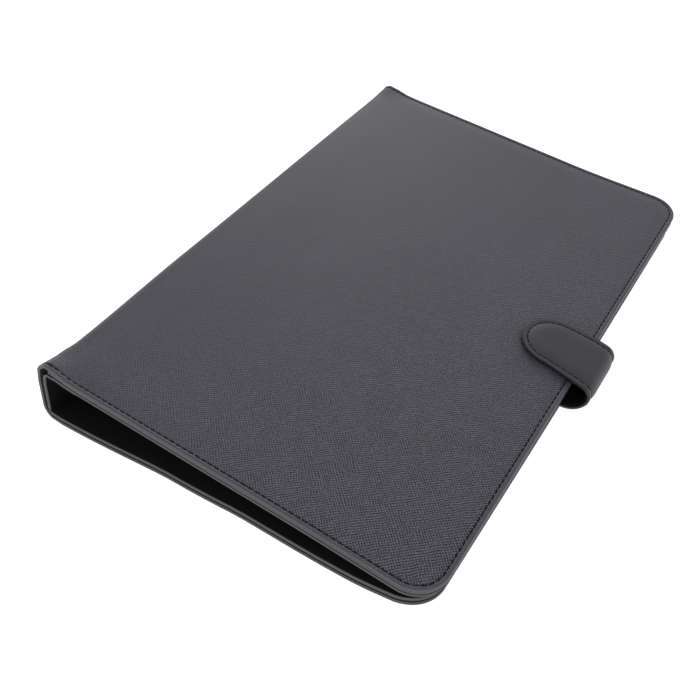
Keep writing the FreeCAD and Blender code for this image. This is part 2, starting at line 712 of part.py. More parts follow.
def keyboard_fittings():
    """What lies in the bay behind the keys: battery, controller, socket, switch and light."""
    plate("battery_cell", "battery_length", f"{BAY_MIDDLE} - battery_width / 2",
          f"{BAY_MIDDLE} + battery_width / 2", Heights.tray_inside, "battery_thick")

    board_back = f"{KEYBOARD_BACK} + socket_depth + 2 * part_clearance"
    controller = body("controller_board")
    outline = sketch(controller, "outline", height=Heights.tray_inside, shift=CONTROLLER_MIDDLE)
    rectangle(outline, "controller_length", board_back, f"{board_back} + controller_width")
    pad(controller, outline, "controller_thick")

    socket = body("charging_socket")
    shell = sketch(socket, "shell", height=Heights.tray_inside, shift=CONTROLLER_MIDDLE)
    shell_front = f"{KEYBOARD_BACK} + part_clearance + socket_depth"
    rectangle(shell, "socket_length", f"{KEYBOARD_BACK} + part_clearance", shell_front)
    pad(socket, shell, "socket_height")
    mouth = sketch(socket, "mouth", height=f"{Heights.tray_inside} + socket_height - socket_wall",
                   shift=CONTROLLER_MIDDLE)
    rectangle(mouth, "socket_length - 2 * socket_wall", KEYBOARD_BACK, f"{shell_front} - 2 * socket_wall")
    pocket(socket, mouth, "socket_height - 2 * socket_wall")

    switch = body("power_switch")
    flange_base = f"({Heights.frame} - part_clearance - switch_flange_thick)"
    flange = sketch(switch, "flange", height=flange_base, shift=SWITCH_MIDDLE)
    rectangle(flange, "switch_length + 2 * switch_flange", f"{BAY_MIDDLE} - switch_width",
              f"{BAY_MIDDLE} + switch_width")
    pad(switch, flange, "switch_flange_thick")
    knob = sketch(switch, "knob", height=flange_base, shift=SWITCH_MIDDLE)
    rectangle(knob, "switch_length", f"{BAY_MIDDLE} - switch_width / 2", f"{BAY_MIDDLE} + switch_width / 2")
    pad(switch, knob, "switch_flange_thick + part_clearance + frame_thick + switch_rise")

    light = body("status_light_pipe")
    place = [(value(LIGHT_MIDDLE), value(BAY_MIDDLE))]
    flange = rounds(light, "flange", f"{Heights.frame} - light_flange", place, "light_radius + light_flange")
    pad(light, flange, "light_flange")
    pad(light, rounds(light, "pipe", Heights.frame, place, "light_radius"), "frame_thick")


base_cover()
spine()
stand_panel()
front_cover()
tablet_panel()
tongue_skin, tongue_lining = strap()
strap_magnet(tongue_lining)
keyboard_tray()
keyboard_frame()
keyboard_screws()
keyboard_sheets()
keyboard_fittings()
keys()
doc.recompute()

for item in doc.Objects:
    if {"Invalid", "Error"} & set(item.State):
        raise RuntimeError(f"{item.Label} did not build: {item.State}")
for node in NODES:
    if node.Shape.isNull() or not node.Shape.isValid():
        raise RuntimeError(f"{node.Label} has no valid shape")

os.makedirs("parts", exist_ok=True)
for node in NODES:
    node.Shape.exportStep(f"parts/{node.Label}.step")


def fold_axes():
    """The fold lines that the joints turn about, as depth and height made into Y and Z."""
    half = value("cover_width / 2")
    radius = value("fold_radius")
    mid = math.radians(-90 + LOWER_HALF_TURN)
    lower = (-value(LOWER_TANGENT) + radius * math.cos(mid), radius + radius * math.sin(mid))
    rest = radius * (1 - math.sqrt(0.5))
    upper = leaned_point(rest, value(SPINE_WIDTH) - rest)
    crease = leaned_point(value("crease_depth"), value(SPINE_WIDTH))
    strap_axis = (StrapBend.centre[0] - StrapBend.radius - value("strap_layer"), StrapBend.centre[1])
    lines = {"spine_fold": lower, "top_fold": upper, "stand_crease": crease, "strap_bend": strap_axis}
    return {name: (round(y + half, 3), round(z, 3)) for name, (y, z) in lines.items()}


for name, (y, z) in fold_axes().items():
    print(f"{name}: Y {y} Z {z}")
solids = [solid for node in NODES for solid in node.Shape.Solids]
print(len(NODES), "nodes,", len(solids), "solids")
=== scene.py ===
"""Dresses a closed tablet keyboard case: leatherette covers round a spine, stitching, strap and keyboard.

Every sheet of the case is modelled flat and then laid along the line that the case makes when it is seen
from its end, so that the grain, the seam and the folds run on from the base round the spine to the lid.
"""

import json
import math
import random
from collections import namedtuple

import bmesh
import bpy
from bpy.props import FloatProperty, FloatVectorProperty, PointerProperty
from mathutils import Matrix, Vector


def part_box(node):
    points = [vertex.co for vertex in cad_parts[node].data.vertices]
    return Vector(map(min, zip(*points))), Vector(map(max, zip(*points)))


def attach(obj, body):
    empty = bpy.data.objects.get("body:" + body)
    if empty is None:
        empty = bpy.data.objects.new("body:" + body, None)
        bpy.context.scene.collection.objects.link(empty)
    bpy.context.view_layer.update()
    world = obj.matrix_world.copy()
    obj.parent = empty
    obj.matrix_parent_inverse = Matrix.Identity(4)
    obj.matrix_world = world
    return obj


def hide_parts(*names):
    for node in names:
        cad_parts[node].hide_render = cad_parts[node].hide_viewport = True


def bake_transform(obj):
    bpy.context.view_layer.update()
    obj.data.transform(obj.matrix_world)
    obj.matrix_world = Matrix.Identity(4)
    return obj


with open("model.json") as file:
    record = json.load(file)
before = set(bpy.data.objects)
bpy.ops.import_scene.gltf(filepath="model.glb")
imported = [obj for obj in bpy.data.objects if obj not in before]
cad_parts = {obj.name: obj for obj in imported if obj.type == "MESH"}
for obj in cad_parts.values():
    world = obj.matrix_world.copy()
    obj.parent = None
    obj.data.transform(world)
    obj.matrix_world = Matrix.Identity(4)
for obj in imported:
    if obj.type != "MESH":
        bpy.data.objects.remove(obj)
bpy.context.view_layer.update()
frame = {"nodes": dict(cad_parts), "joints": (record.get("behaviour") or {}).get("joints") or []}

bl_info = {
    "name": "Tablet keyboard case",
    "version": (1, 0, 0),
    "blender": (4, 5, 0),
    "location": "3D View > Sidebar > Case",
    "description": "Leatherette covers, strap, stitching and keyboard finishes for a tablet keyboard case",
    "category": "Object",
}

MM = 0.001


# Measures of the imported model

def joint_place(name):
    """Where a hinge stands at rest."""
    return Vector(next(joint["pos_m"] for joint in frame["joints"] if joint["name"] == name))


def flat_normal(node):
    """The way that a flat node's largest face looks, turned upwards."""
    normal = max(frame["nodes"][node].data.polygons, key=lambda face: face.area).normal
    return normal.copy() if normal.z > 0 else -normal


def front_corner_radius(node):
    """The radius of the two rounded corners at a node's front edge."""
    low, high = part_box(node)
    front = [vert.co.x for vert in frame["nodes"][node].data.vertices if vert.co.y - low.y < 0.01 * MM]
    return high.x - max(front)


HALF_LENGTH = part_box("base_cover_skin")[1].x
HALF_WIDTH = -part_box("base_cover_skin")[0].y
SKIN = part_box("base_cover_board")[0].z
BOARD_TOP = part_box("base_cover_lining")[0].z
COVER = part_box("base_cover_lining")[1].z
CORNER_RADIUS = front_corner_radius("base_cover_lining")
LID_UP = flat_normal("front_cover_skin")
LID_OUT = Vector((0, -LID_UP.z, LID_UP.y))
LEAN = math.atan2(-LID_UP.y, LID_UP.z)
SPINE_EDGE = Vector((0, HALF_WIDTH, 0))
SPINE_WIDTH = (joint_place("stand_crease") - SPINE_EDGE).dot(LID_UP)
CREASE_DEPTH = (joint_place("stand_crease") - SPINE_EDGE).dot(LID_OUT)
FOLD_RADIUS = (SPINE_WIDTH - (joint_place("top_fold") - SPINE_EDGE).dot(LID_UP)) / (1 - math.sqrt(0.5))


class Wrap:
    """A line of straight runs and round bends in a plane, along which a flat sheet can be laid."""

    def __init__(self, start, heading, runs, side=1, shift=None):
        """Each run has a length and the angle that it turns to the left; side picks which side is outside.

        A shift, if given, moves each point of the flat sheet before it is laid: it takes the two places on
        the sheet and gives the new place across and a move in space.
        """
        self.runs = []
        self.side = side
        self.shift = shift
        self.length = 0
        place = Vector(start)
        for length, turn in runs:
            self.runs.append((self.length, length, turn, place, heading))
            place, heading = self.step(place, heading, length, turn, length)
            self.length += length

    @staticmethod
    def step(place, heading, length, turn, part):
        """The place and heading after part of a run."""
        if abs(turn) < 1e-9:
            return place + Vector((math.cos(heading), math.sin(heading))) * part, heading
        radius, turned = length / turn, heading + turn * part / length
        shift = Vector((math.sin(turned) - math.sin(heading), math.cos(heading) - math.cos(turned)))
        return place + shift * radius, turned

    def at(self, along):
        """The place and heading at a distance along the line, which runs on straight past its ends."""
        start, length, turn, place, heading = self.runs[0]
        for run in self.runs:
            if run[0] <= along:
                start, length, turn, place, heading = run
        inside = min(max(along - start, 0), length)
        place, heading = self.step(place, heading, length, turn, inside)
        beyond = along - start - inside
        return place + Vector((math.cos(heading), math.sin(heading))) * beyond, heading

    def outward(self, along):
        """The way that the outside looks at a distance along the line, across the case."""
        heading = self.at(along)[1]
        return Vector((0, math.sin(heading), -math.cos(heading))) * self.side

    def lay(self, across, along, height):
        """A point of the flat sheet, laid along the line at a height above the outside."""
        place = self.at(along)[0]
        across, move = self.shift(across, along) if self.shift else (across, Vector())
        return Vector((across, place.x, place.y)) + self.outward(along) * height + move


# The outside of the case from the base's front edge, round the spine, to the front edge of the lid
LOWER_TURN = math.pi / 2 + LEAN
LOWER_TANGENT = FOLD_RADIUS * math.tan(LOWER_TURN / 2)
CASE_RUNS = [
    (2 * HALF_WIDTH - LOWER_TANGENT, 0),
    (FOLD_RADIUS * LOWER_TURN, LOWER_TURN),
    (SPINE_WIDTH - LOWER_TANGENT - FOLD_RADIUS, 0),
    (FOLD_RADIUS * math.pi / 2, math.pi / 2),
    (2 * HALF_WIDTH - FOLD_RADIUS, 0),
]
CASE = Wrap((-HALF_WIDTH, 0), 0, CASE_RUNS)
LOWER_FOLD, SPINE_START, UPPER_FOLD, LID_START = [run[0] for run in CASE.runs[1:]]
SPINE_MIDDLE = (SPINE_START + UPPER_FOLD) / 2
CREASE = LID_START + CREASE_DEPTH - FOLD_RADIUS
STAND_MIDDLE = (LID_START + CREASE) / 2
FRONT_EDGE = CASE.length

# The strap from the end of its root in the base's seam to the tip of its tongue on the lid
ROOT_LOW, ROOT_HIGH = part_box("strap_root")
STRAP_HALF = (ROOT_HIGH.x - ROOT_LOW.x) / 2
STRAP_MIDDLE = (ROOT_HIGH.x + ROOT_LOW.x) / 2
BEND_PLACE = joint_place("strap_bend")
STRAP_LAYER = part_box("strap_tongue_lining")[0].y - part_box("strap_tongue_skin")[0].y
BEND_RADIUS = BEND_PLACE.z - ROOT_LOW.z - STRAP_LAYER
BEND_START = Vector((BEND_PLACE.y + STRAP_LAYER + BEND_RADIUS, ROOT_LOW.z + STRAP_LAYER))
BEND_ARC = BEND_RADIUS * (math.pi - LEAN)
TONGUE_PLACE, TONGUE_HEADING = Wrap.step(BEND_START, math.pi, BEND_ARC, LEAN - math.pi, BEND_ARC)
TONGUE_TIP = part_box("strap_tongue_skin")[1].y

# The loop hangs as soft straps do: wide below, where it leaves the seam, and tight above, where it turns in
SEAM_HEIGHT = (SKIN + BOARD_TOP) / 2
ROOT_DEPTH = 1.5 * MM
EXIT_REACH = 1 * MM
EXIT_DROP = 0.6 * MM
STRAP_START = Vector((ROOT_DEPTH - HALF_WIDTH, SEAM_HEIGHT))
STRAP_EXIT = Vector((-EXIT_REACH - HALF_WIDTH, SEAM_HEIGHT - EXIT_DROP))
EXIT_RUN = STRAP_EXIT - STRAP_START
EXIT_HEADING = math.atan2(EXIT_RUN.y, EXIT_RUN.x) % (2 * math.pi)
LOWER_RADIUS = 8.1 * MM
LOWER_HEADING = math.pi - math.radians(65)
LOWER_ARC = LOWER_RADIUS * (EXIT_HEADING - LOWER_HEADING)
LOWER_END, _ = Wrap.step(STRAP_EXIT, EXIT_HEADING, LOWER_ARC, LOWER_HEADING - EXIT_HEADING, LOWER_ARC)
TONGUE_NORMAL = Vector((-math.sin(TONGUE_HEADING), math.cos(TONGUE_HEADING)))
UPPER_SWEEP = Vector((math.sin(LOWER_HEADING) - math.sin(TONGUE_HEADING),
                      math.cos(TONGUE_HEADING) - math.cos(LOWER_HEADING)))
UPPER_RADIUS = (TONGUE_PLACE - LOWER_END).dot(TONGUE_NORMAL) / UPPER_SWEEP.dot(TONGUE_NORMAL)
TONGUE_START = LOWER_END + UPPER_SWEEP * UPPER_RADIUS
STRAP_TIP_WIDTH = 28 * MM
STRAP_SLANT = 0.188


def strap_slant(across, along):
    """The tongue widens from its tip to the lid's edge, and from there both edges run on at a slant."""
    width = STRAP_TIP_WIDTH + STRAP_SLANT * max(0, STRAP.length - along - STRAP_HALF)
    aside = STRAP_SLANT * max(0, STRAP.length - along - LID_OVERLAP)
    share = (ROOT_HIGH.x - across) / (2 * STRAP_HALF)
    return ROOT_HIGH.x - aside - share * (width - aside), Vector()


STRAP = Wrap(STRAP_START, EXIT_HEADING, [
    (EXIT_RUN.length, 0),
    (LOWER_ARC, LOWER_HEADING - EXIT_HEADING),
    (UPPER_RADIUS * (LOWER_HEADING - TONGUE_HEADING), TONGUE_HEADING - LOWER_HEADING),
    ((TONGUE_TIP - TONGUE_START.x) / math.cos(LEAN), 0),
], side=-1, shift=strap_slant)
STRAP_BEND_START = STRAP.runs[1][0]
STRAP_BEND_END = STRAP.runs[3][0]
LID_OVERLAP = (TONGUE_TIP + HALF_WIDTH) / math.cos(LEAN)


# Settings

def size_setting(name, description, default):
    """A setting that is a size in metres."""
    return FloatProperty(name=name, description=description, unit="LENGTH", default=default)


def color_setting(name, description, default):
    """A setting that is a colour."""
    return FloatVectorProperty(
        name=name, description=description, subtype="COLOR", size=3, min=0, max=1, default=default)


class CoverSettings(bpy.types.PropertyGroup):
    """Sizes and colours of the covers, the seam and the strap."""

    leather_color: color_setting("Leatherette", "Colour of the covers' outside", (0.0590, 0.0570, 0.0760))
    strap_color: color_setting("Strap", "Colour of the smoother strap", (0.0365, 0.0335, 0.0425))
    # The lining's near-black colour is dark cloth darkened further as painted shade for the inside of the
    # case
    lining_color: color_setting("Lining", "Colour of the cloth inside", (0.0045, 0.0045, 0.005))
    # The edge colour, lighter than the leatherette, paints the lining's rim as a highlight and colours the
    # core
    edge_color: color_setting(
        "Edges", "Colour of the turned-in edges of the core and the lining", (0.105, 0.101, 0.102))
    thread_color: color_setting("Thread", "Colour of the stitching", (0.005, 0.005, 0.0055))
    grain_pitch: size_setting("Grain pitch", "Distance between the ridges of the cross grain", 1.02 * MM)
    edge_round: size_setting("Edge round", "Radius of the sheets' outer edges", 0.6 * MM)
    seam_inset: size_setting("Seam inset", "Distance of the stitching from the edge", 2.3 * MM)
    seam_depth: size_setting("Seam depth", "How far the stitching pulls the sheet in", 0.3 * MM)
    stitch_pitch: size_setting("Stitch pitch", "Distance from one stitch to the next", 3 * MM)
    thread_radius: size_setting("Thread radius", "Half the thickness of the thread", 0.35 * MM)
    fullness: size_setting("Fullness", "How far the sheet swells between its seams", 0.5 * MM)
    lip_rise: size_setting("Lip rise", "How far the spine's upper fold flares at its ends", 1.7 * MM)
    lip_length: size_setting("Lip length", "How far the flare reaches in from the ends", 11 * MM)
    fold_sag: size_setting("Fold sag", "How far the upper fold sinks between its ends", 1.3 * MM)
    fold_cut: size_setting("Fold cut", "How far the upper fold is rounded off at its near end", 1.5 * MM)
    base_overhang: size_setting("Base overhang", "How far the base stands out in front of the lid", 0.9 * MM)
    base_wander: size_setting("Base wander", "How far the base's ends stray from straight", 1.4 * MM)
    sag: size_setting("Sag", "How far the lid sinks in its middle", 0.5 * MM)
    droop: size_setting("Droop", "How far the lid's near front corner hangs", 1.0 * MM)
    lift: size_setting("Lift", "How far the lid's far front corner stands up", 1.8 * MM)


class StageSettings(bpy.types.PropertyGroup):
    """Camera and light."""

    lens: FloatProperty(
        name="Lens", description="Focal length on a 36 mm sensor", subtype="DISTANCE_CAMERA", default=47.343)
    azimuth: FloatProperty(
        name="Azimuth", description="Way round the case from its strap side", subtype="ANGLE",
        default=math.radians(-59.129))
    elevation: FloatProperty(
        name="Elevation", description="Height of the camera above the table, as an angle", subtype="ANGLE",
        default=math.radians(43.325))
    roll: FloatProperty(
        name="Roll", description="Turn of the camera about its own axis", subtype="ANGLE",
        default=math.radians(1.164))
    distance: size_setting("Distance", "How far the camera stands back from the case's middle", 435.992 * MM)
    shift_right: size_setting("Shift right", "Camera's move to its right", -21.368 * MM)
    shift_up: size_setting("Shift up", "Camera's move upwards", -20.287 * MM)
    horizon: FloatProperty(
        name="Horizon", description="Strength of the light from all sides", min=0, default=1.05)
    zenith: FloatProperty(
        name="Zenith", description="Strength of the light from overhead", min=0, default=0.5)
    key: FloatProperty(
        name="Key", description="Power of the lamp behind the case", min=0, subtype="POWER", default=2.5)
    fill: FloatProperty(
        name="Fill", description="Power of the lamp at the open end", min=0, subtype="POWER", default=2.0)


# Finishes

# Where a sheet's rim fades into its face, as a share of the rim's width, and where its side ends. The rim and
# the side carry the painted highlight and painted shade of a sheet's edge
RIM_FADE = 0.6
SIDE_BAND = (0.01 * MM, 0.09 * MM)

# The leatherette's grain deepens from the spine to the near front corner and is pressed out beside the seam;
# where it deepens the face is also painted lighter, a painted highlight strongest at the near front corner
GRAIN_SLANT = math.sqrt(0.5)
GRAIN_DEPTH = (0.14, 1.6)
GRAIN_HEIGHT = 0.3 * MM
NEAR_END_SHARE = 0.6
SPINE_GRAIN = 0.7
PRESSED_GRAIN = 0.15
PRESSED_GLOSS = 0.1
PRESSED_FADE = (-0.4 * MM, 0.5 * MM)

# Its tones, as shares of its colour, but for the groove's, which is a share of the ridge's. The grooves are
# painted dark as shade and the ridges light as a highlight
HIGHEST_RIDGE = 1.5
RIDGE_HIGHLIGHT_TONE = 2.6
GROOVE_SHADE_TONE = 0.077
CLOUD_TONE = 0.09
# The rim is painted lighter as a highlight, over a width, and the side under it darker as shade
RIM_HIGHLIGHT_TONE = 1.7
SIDE_SHADE_TONE = 0.08
RIM_HIGHLIGHT_WIDTH = 0.6 * MM


class Value:
    """A socket of a finish that takes part in sums."""

    def __init__(self, finish, socket):
        self.finish = finish
        self.socket = socket

    def maths(self, operation, *others, swapped=False):
        operands = [*others, self] if swapped else [self, *others]
        node = self.finish.node("ShaderNodeMath", {"operation": operation}, dict(enumerate(operands)))
        return Value(self.finish, node.outputs[0])

    def __add__(self, other):
        return self.maths("ADD", other)

    __radd__ = __add__

    def __sub__(self, other):
        return self.maths("SUBTRACT", other)

    def __rsub__(self, other):
        return self.maths("SUBTRACT", other, swapped=True)

    def __mul__(self, other):
        return self.maths("MULTIPLY", other)

    def __pow__(self, other):
        return self.maths("POWER", other)

    def __abs__(self):
        return self.maths("ABSOLUTE")

    def sine(self):
        return self.maths("SINE")

    def larger(self, other):
        return self.maths("MAXIMUM", other)


class NodeTree:
    """The nodes of a material or of the world."""

    def __init__(self, tree):
        self.tree = tree

    def node(self, kind, settings, sockets):
        """Adds a node, sets it up, then fills its sockets with numbers or links."""
        made = self.tree.nodes.new(kind)
        for name, setting in settings.items():
            setattr(made, name, setting)
        for name, given in sockets.items():
            self.feed(made.inputs[name], given)
        return made

    def feed(self, socket, given):
        """Links a value to a socket, or sets a number on it."""
        if isinstance(given, Value):
            self.tree.links.new(given.socket, socket)
        else:
            socket.default_value = given

    def out(self, node, name=0):
        return Value(self, node.outputs[name])

    def place(self, name="Object"):
        """Object coordinates, or the sheet's own ones with UV."""
        return self.out(self.node("ShaderNodeTexCoord", {}, {}), name)

    def parts(self, vector):
        """The three numbers of a vector."""
        node = self.node("ShaderNodeSeparateXYZ", {}, {"Vector": vector})
        return [self.out(node, axis) for axis in "XYZ"]

    def vector(self, x, y, z=0.0):
        return self.out(self.node("ShaderNodeCombineXYZ", {}, {"X": x, "Y": y, "Z": z}))

    def noise(self, vector, scale, detail=2.0, roughness=0.5):
        """Even noise from 0 to 1."""
        sockets = {"Vector": vector, "Scale": scale, "Detail": detail, "Roughness": roughness}
        return self.out(self.node("ShaderNodeTexNoise", {}, sockets), "Fac")

    def spread(self, value, low, high, to_low=0.0, to_high=1.0):
        """A value mapped from one range to another, and kept inside it."""
        sockets = {"Value": value, "From Min": low, "From Max": high, "To Min": to_low, "To Max": to_high}
        return self.out(self.node("ShaderNodeMapRange", {"clamp": True}, sockets))

    def blend(self, share, first, second):
        """A colour between two colours."""
        node = self.node("ShaderNodeMix", {"data_type": "RGBA"}, {"Factor": share})
        for socket, color in zip(node.inputs[6:8], (first, second)):
            self.feed(socket, color if isinstance(color, Value) else (*color, 1.0))
        return self.out(node, 2)


class Finish(NodeTree):
    """A material built from nodes round one principled shader."""

    def __init__(self, name, **shader):
        self.material = bpy.data.materials.new(name)
        self.material.use_nodes = True
        super().__init__(self.material.node_tree)
        self.shader = self.tree.nodes["Principled BSDF"]
        for socket, number in shader.items():
            self.shader.inputs[socket.replace("_", " ").title().replace("Ior", "IOR")].default_value = number

    def color(self, value):
        self.feed(self.shader.inputs["Base Color"], value)

    def roughness(self, value):
        self.feed(self.shader.inputs["Roughness"], value)

    def edge_distance(self):
        """How far a point of a sheet lies from its free edge, in metres."""
        return self.out(self.node("ShaderNodeAttribute", {"attribute_name": "edge_distance"}, {}), "Fac")

    def edged(self, face, edge_color, width, side_share=1.0):
        """A sheet's colour with a rim of another colour, darker or lighter on the side under the rim: painted
        highlight and painted shade along the sheet's edge.
        """
        distance = self.edge_distance()
        rimmed = self.blend(self.spread(distance, width * RIM_FADE, width, 1.0, 0.0), face, edge_color)
        side = self.spread(distance, *SIDE_BAND, 1.0, 0.0)
        return self.blend(side, rimmed, shade(edge_color, side_share))

    def inside_seam(self, inset, outside, inside):
        """A value that changes from the pressed band outside the seam to the face inside it."""
        start, end = [inset + reach for reach in PRESSED_FADE]
        return self.spread(self.edge_distance(), start, end, outside, inside)

    def bump(self, height, distance, strength=1.0):
        """Raises the surface by a height times a distance in metres."""
        node = self.node("ShaderNodeBump", {}, {"Height": height, "Distance": distance, "Strength": strength})
        self.feed(self.shader.inputs["Normal"], self.out(node))


def shade(color, share):
    """A colour made darker or lighter."""
    return tuple(min(1, part * share) for part in color)


def cross_grain(finish, pitch, seam_inset):
    """Short ridges in slanted rows, stronger one way than the other, pressed in deepest near the front.

    The height is 0.5 where there is no grain. Its mean rises with the grain's depth, which paints the face
    lighter towards the near front corner as a highlight. The band outside the seam is pressed smooth.
    """
    sheet = finish.place("UV")
    across, along, _ = finish.parts(sheet)
    drift = (finish.noise(sheet, 160, 1.0) - 0.5) * (pitch * 1.2)
    first = (along - across) * GRAIN_SLANT + drift
    second = (along + across) * GRAIN_SLANT + drift
    ridges = []
    for line, run in ((first, second), (second, first)):
        ridge = finish.spread((line * (2 * math.pi / pitch)).sine(), -0.7, 0.7)
        broken = finish.noise(finish.vector(line * (1.0 / pitch), run * (0.6 / pitch)), 1.0, 1.0)
        ridges.append((ridge - 0.5) * finish.spread(broken, 0.34, 0.6, 0.15, 1.0))
    patch = finish.spread(finish.noise(sheet, 90, 2.0), 0.35, 0.65)
    speckle = finish.noise(finish.vector(first * (1.8 / pitch), second * (2.6 / pitch)), 1.0, 1.0) - 0.5
    grain = ridges[0] * (1 - patch * 0.45) + ridges[1] * (0.4 + patch * 0.45) + speckle * 0.5
    near_corner = FRONT_EDGE + HALF_LENGTH * NEAR_END_SHARE
    lid_depth = finish.spread(along - across * NEAR_END_SHARE, SPINE_MIDDLE, near_corner, *GRAIN_DEPTH) ** 2
    depth = lid_depth.larger(finish.spread(along, SPINE_MIDDLE, UPPER_FOLD, SPINE_GRAIN, 0.0))
    # The 0.1 added to the grain lifts the tone with the depth: a painted highlight towards the near front
    # corner
    return (grain + 0.1) * depth * finish.inside_seam(seam_inset, PRESSED_GRAIN, 1.0) + 0.5


def leatherette(name, color, pitch, seam_inset):
    """Cross-grained coated cloth with a satin face, its grain's grooves painted dark as shade and its ridges
    light as a highlight, its rims painted paler as a highlight and the sides under them painted dark as
    shade.
    """
    finish = Finish(name, roughness=0.5, specular_ior_level=0.5)
    grain = cross_grain(finish, pitch, seam_inset)
    cloud = finish.noise(finish.place("UV"), 18, 3.0)
    # The grain's grooves are painted dark as shade and its ridges light as a highlight
    tone = finish.spread(grain, 0.0, HIGHEST_RIDGE, GROOVE_SHADE_TONE, 1.0) + (cloud - 0.5) * CLOUD_TONE
    face = finish.blend(tone, shade(color, 0.0), shade(color, RIDGE_HIGHLIGHT_TONE))
    # The rim is painted paler as a highlight and the side under it dark as shade
    finish.color(finish.edged(face, shade(color, RIM_HIGHLIGHT_TONE), RIM_HIGHLIGHT_WIDTH, SIDE_SHADE_TONE))
    gloss = finish.inside_seam(seam_inset, PRESSED_GLOSS, 0.0)
    finish.roughness(finish.spread(grain, 0.1, 0.9, 0.62, 0.42) - gloss)
    finish.bump(grain, GRAIN_HEIGHT)
    return finish.material


def edged_cloth(name, color, edge_color):
    """Lining cloth with a lighter rim and side along its edge, painted as a highlight."""
    finish = Finish(name, roughness=0.8, specular_ior_level=0.2)
    nap = finish.noise(finish.place("UV"), 420, 4.0, 0.65)
    face = finish.blend(nap, shade(color, 0.6), shade(color, 1.5))
    finish.color(finish.edged(face, edge_color, 0.4 * MM, 1.15))
    finish.bump(nap, 0.06 * MM, 0.6)
    return finish.material


def smooth_leatherette(name, color, edge_color, side_share=1.0):
    """Fine-grained coated cloth with a rim and side of another colour: painted shade along the strap's edge,
    and a painted highlight on the core's rim.
    """
    finish = Finish(name, roughness=0.5, specular_ior_level=0.5)
    sheet = finish.place("UV")
    pebble = finish.noise(sheet, 1500, 3.0, 0.6)
    cloud = finish.noise(sheet, 60, 3.0)
    face = finish.blend(pebble * 0.5 + cloud * 0.5, shade(color, 0.78), shade(color, 1.22))
    finish.color(finish.edged(face, edge_color, 0.55 * MM, side_share))
    finish.roughness(finish.spread(pebble, 0.3, 0.7, 0.56, 0.44))
    finish.bump(pebble, 0.05 * MM, 0.5)
    return finish.material


def cloth(name, color, thread_pitch=0.45 * MM):
    """Matt lining cloth with a fine plain weave and a nap."""
    finish = Finish(name, roughness=0.95, specular_ior_level=0.08)
    sheet = finish.place()
    x, y, z = finish.parts(sheet)
    weave = abs((x * (math.pi / thread_pitch)).sine()) * abs(((y + z) * (math.pi / thread_pitch)).sine())
    nap = finish.noise(sheet, 420, 4.0, 0.65)
    finish.color(finish.blend(nap * 0.7 + weave * 0.3, shade(color, 0.7), shade(color, 1.35)))
    finish.bump(weave * 0.5 + nap * 0.5, 0.06 * MM, 0.6)
    return finish.material


def thread(name, color):
    """Twisted sewing thread."""
    finish = Finish(name, roughness=0.7, specular_ior_level=0.15)
    twist_pitch = 0.35 * MM
    x, y, z = finish.parts(finish.place())
    twist = abs(((x + y + z) * (math.pi / twist_pitch)).sine())
    finish.color(finish.blend(twist, shade(color, 0.6), shade(color, 1.8)))
    finish.bump(twist, 0.05 * MM, 0.6)
    return finish.material


def plastic(name, color, roughness):
    """Moulded plastic with a fine spark texture."""
    finish = Finish(name, roughness=roughness, specular_ior_level=0.5)
    spark = finish.noise(finish.place(), 5200, 2.0, 0.7)
    wear = finish.noise(finish.place(), 90, 3.0)
    finish.color(finish.blend(spark * 0.4 + wear * 0.6, shade(color, 0.85), shade(color, 1.2)))
    finish.roughness(finish.spread(wear, 0.3, 0.7, roughness - 0.07, roughness + 0.07))
    finish.bump(spark, 0.02 * MM, 0.5)
    return finish.material


def metal(name, color, roughness):
    """Plated or brushed metal with fine lines along the case."""
    finish = Finish(name, metallic=1.0, roughness=roughness)
    x, y, z = finish.parts(finish.place())
    lines = finish.noise(finish.vector(x * 40, y * 4000, z * 4000), 1.0, 2.0)
    finish.color(finish.blend(lines, shade(color, 0.85), shade(color, 1.1)))
    finish.roughness(finish.spread(lines, 0.3, 0.7, roughness - 0.08, roughness + 0.08))
    return finish.material


def fibre_board(name, color):
    """Grey pressed board with flecks of fibre."""
    finish = Finish(name, roughness=0.95, specular_ior_level=0.15)
    place = finish.place()
    fibre = finish.noise(place, 1400, 5.0, 0.7)
    finish.color(finish.blend(fibre, shade(color, 0.6), shade(color, 1.4)))
    finish.bump(fibre, 0.08 * MM, 0.6)
    return finish.material


def woven_elastic(name, color):
    """Ribbed elastic webbing."""
    finish = Finish(name, roughness=0.8, specular_ior_level=0.3, sheen_weight=0.2)
    rib_pitch = 0.9 * MM
    x, y, _ = finish.parts(finish.place())
    turn = math.sqrt(0.5) * math.pi / rib_pitch
    ribs = abs(((x + y) * turn).sine())
    picks = abs(((x - y) * turn).sine())
    weave = ribs.larger(picks) * 0.8 + finish.noise(finish.place(), 2500, 2.0) * 0.2
    finish.color(finish.blend(weave, shade(color, 0.5), shade(color, 2.0)))
    finish.bump(weave, 0.15 * MM, 0.7)
    return finish.material


# Sheets

EDGE_ROWS = [row * MM for row in (0, 0.08, 0.2, 0.38, 0.6, 1.1, 1.55, 1.9, 2.15, 2.3, 2.45, 2.7, 3.05, 3.6,
                                  4.3, 5.5, 7.5, 10, 12.5, 15, 17.5, 20, 22)]
SHEET_STEP = 6 * MM
FOLD_STEP = 0.7 * MM
SHARP_ANGLE = math.radians(50)
FOLD_DIAGONAL = (LID_UP - LID_OUT).normalized()
SEAM_WIDTH = 0.45 * MM
FULL_REACH = 7 * MM
LID_BACK_REACH = 40 * MM
LID_FRONT_REACH = 60 * MM

# How far before and after its two ends the upper fold takes up its lips and sag, and its rounded near end
LIP_RUN_IN = (-6 * MM, 2 * MM)
LIP_RUN_OUT = (0, 13 * MM)
CUT_RUN_IN = (-4 * MM, 3 * MM)
CUT_RUN_OUT = (-3 * MM, 4 * MM)
CUT_REACH = (2 * MM, 16 * MM)
NEAR_LIP = 1.9

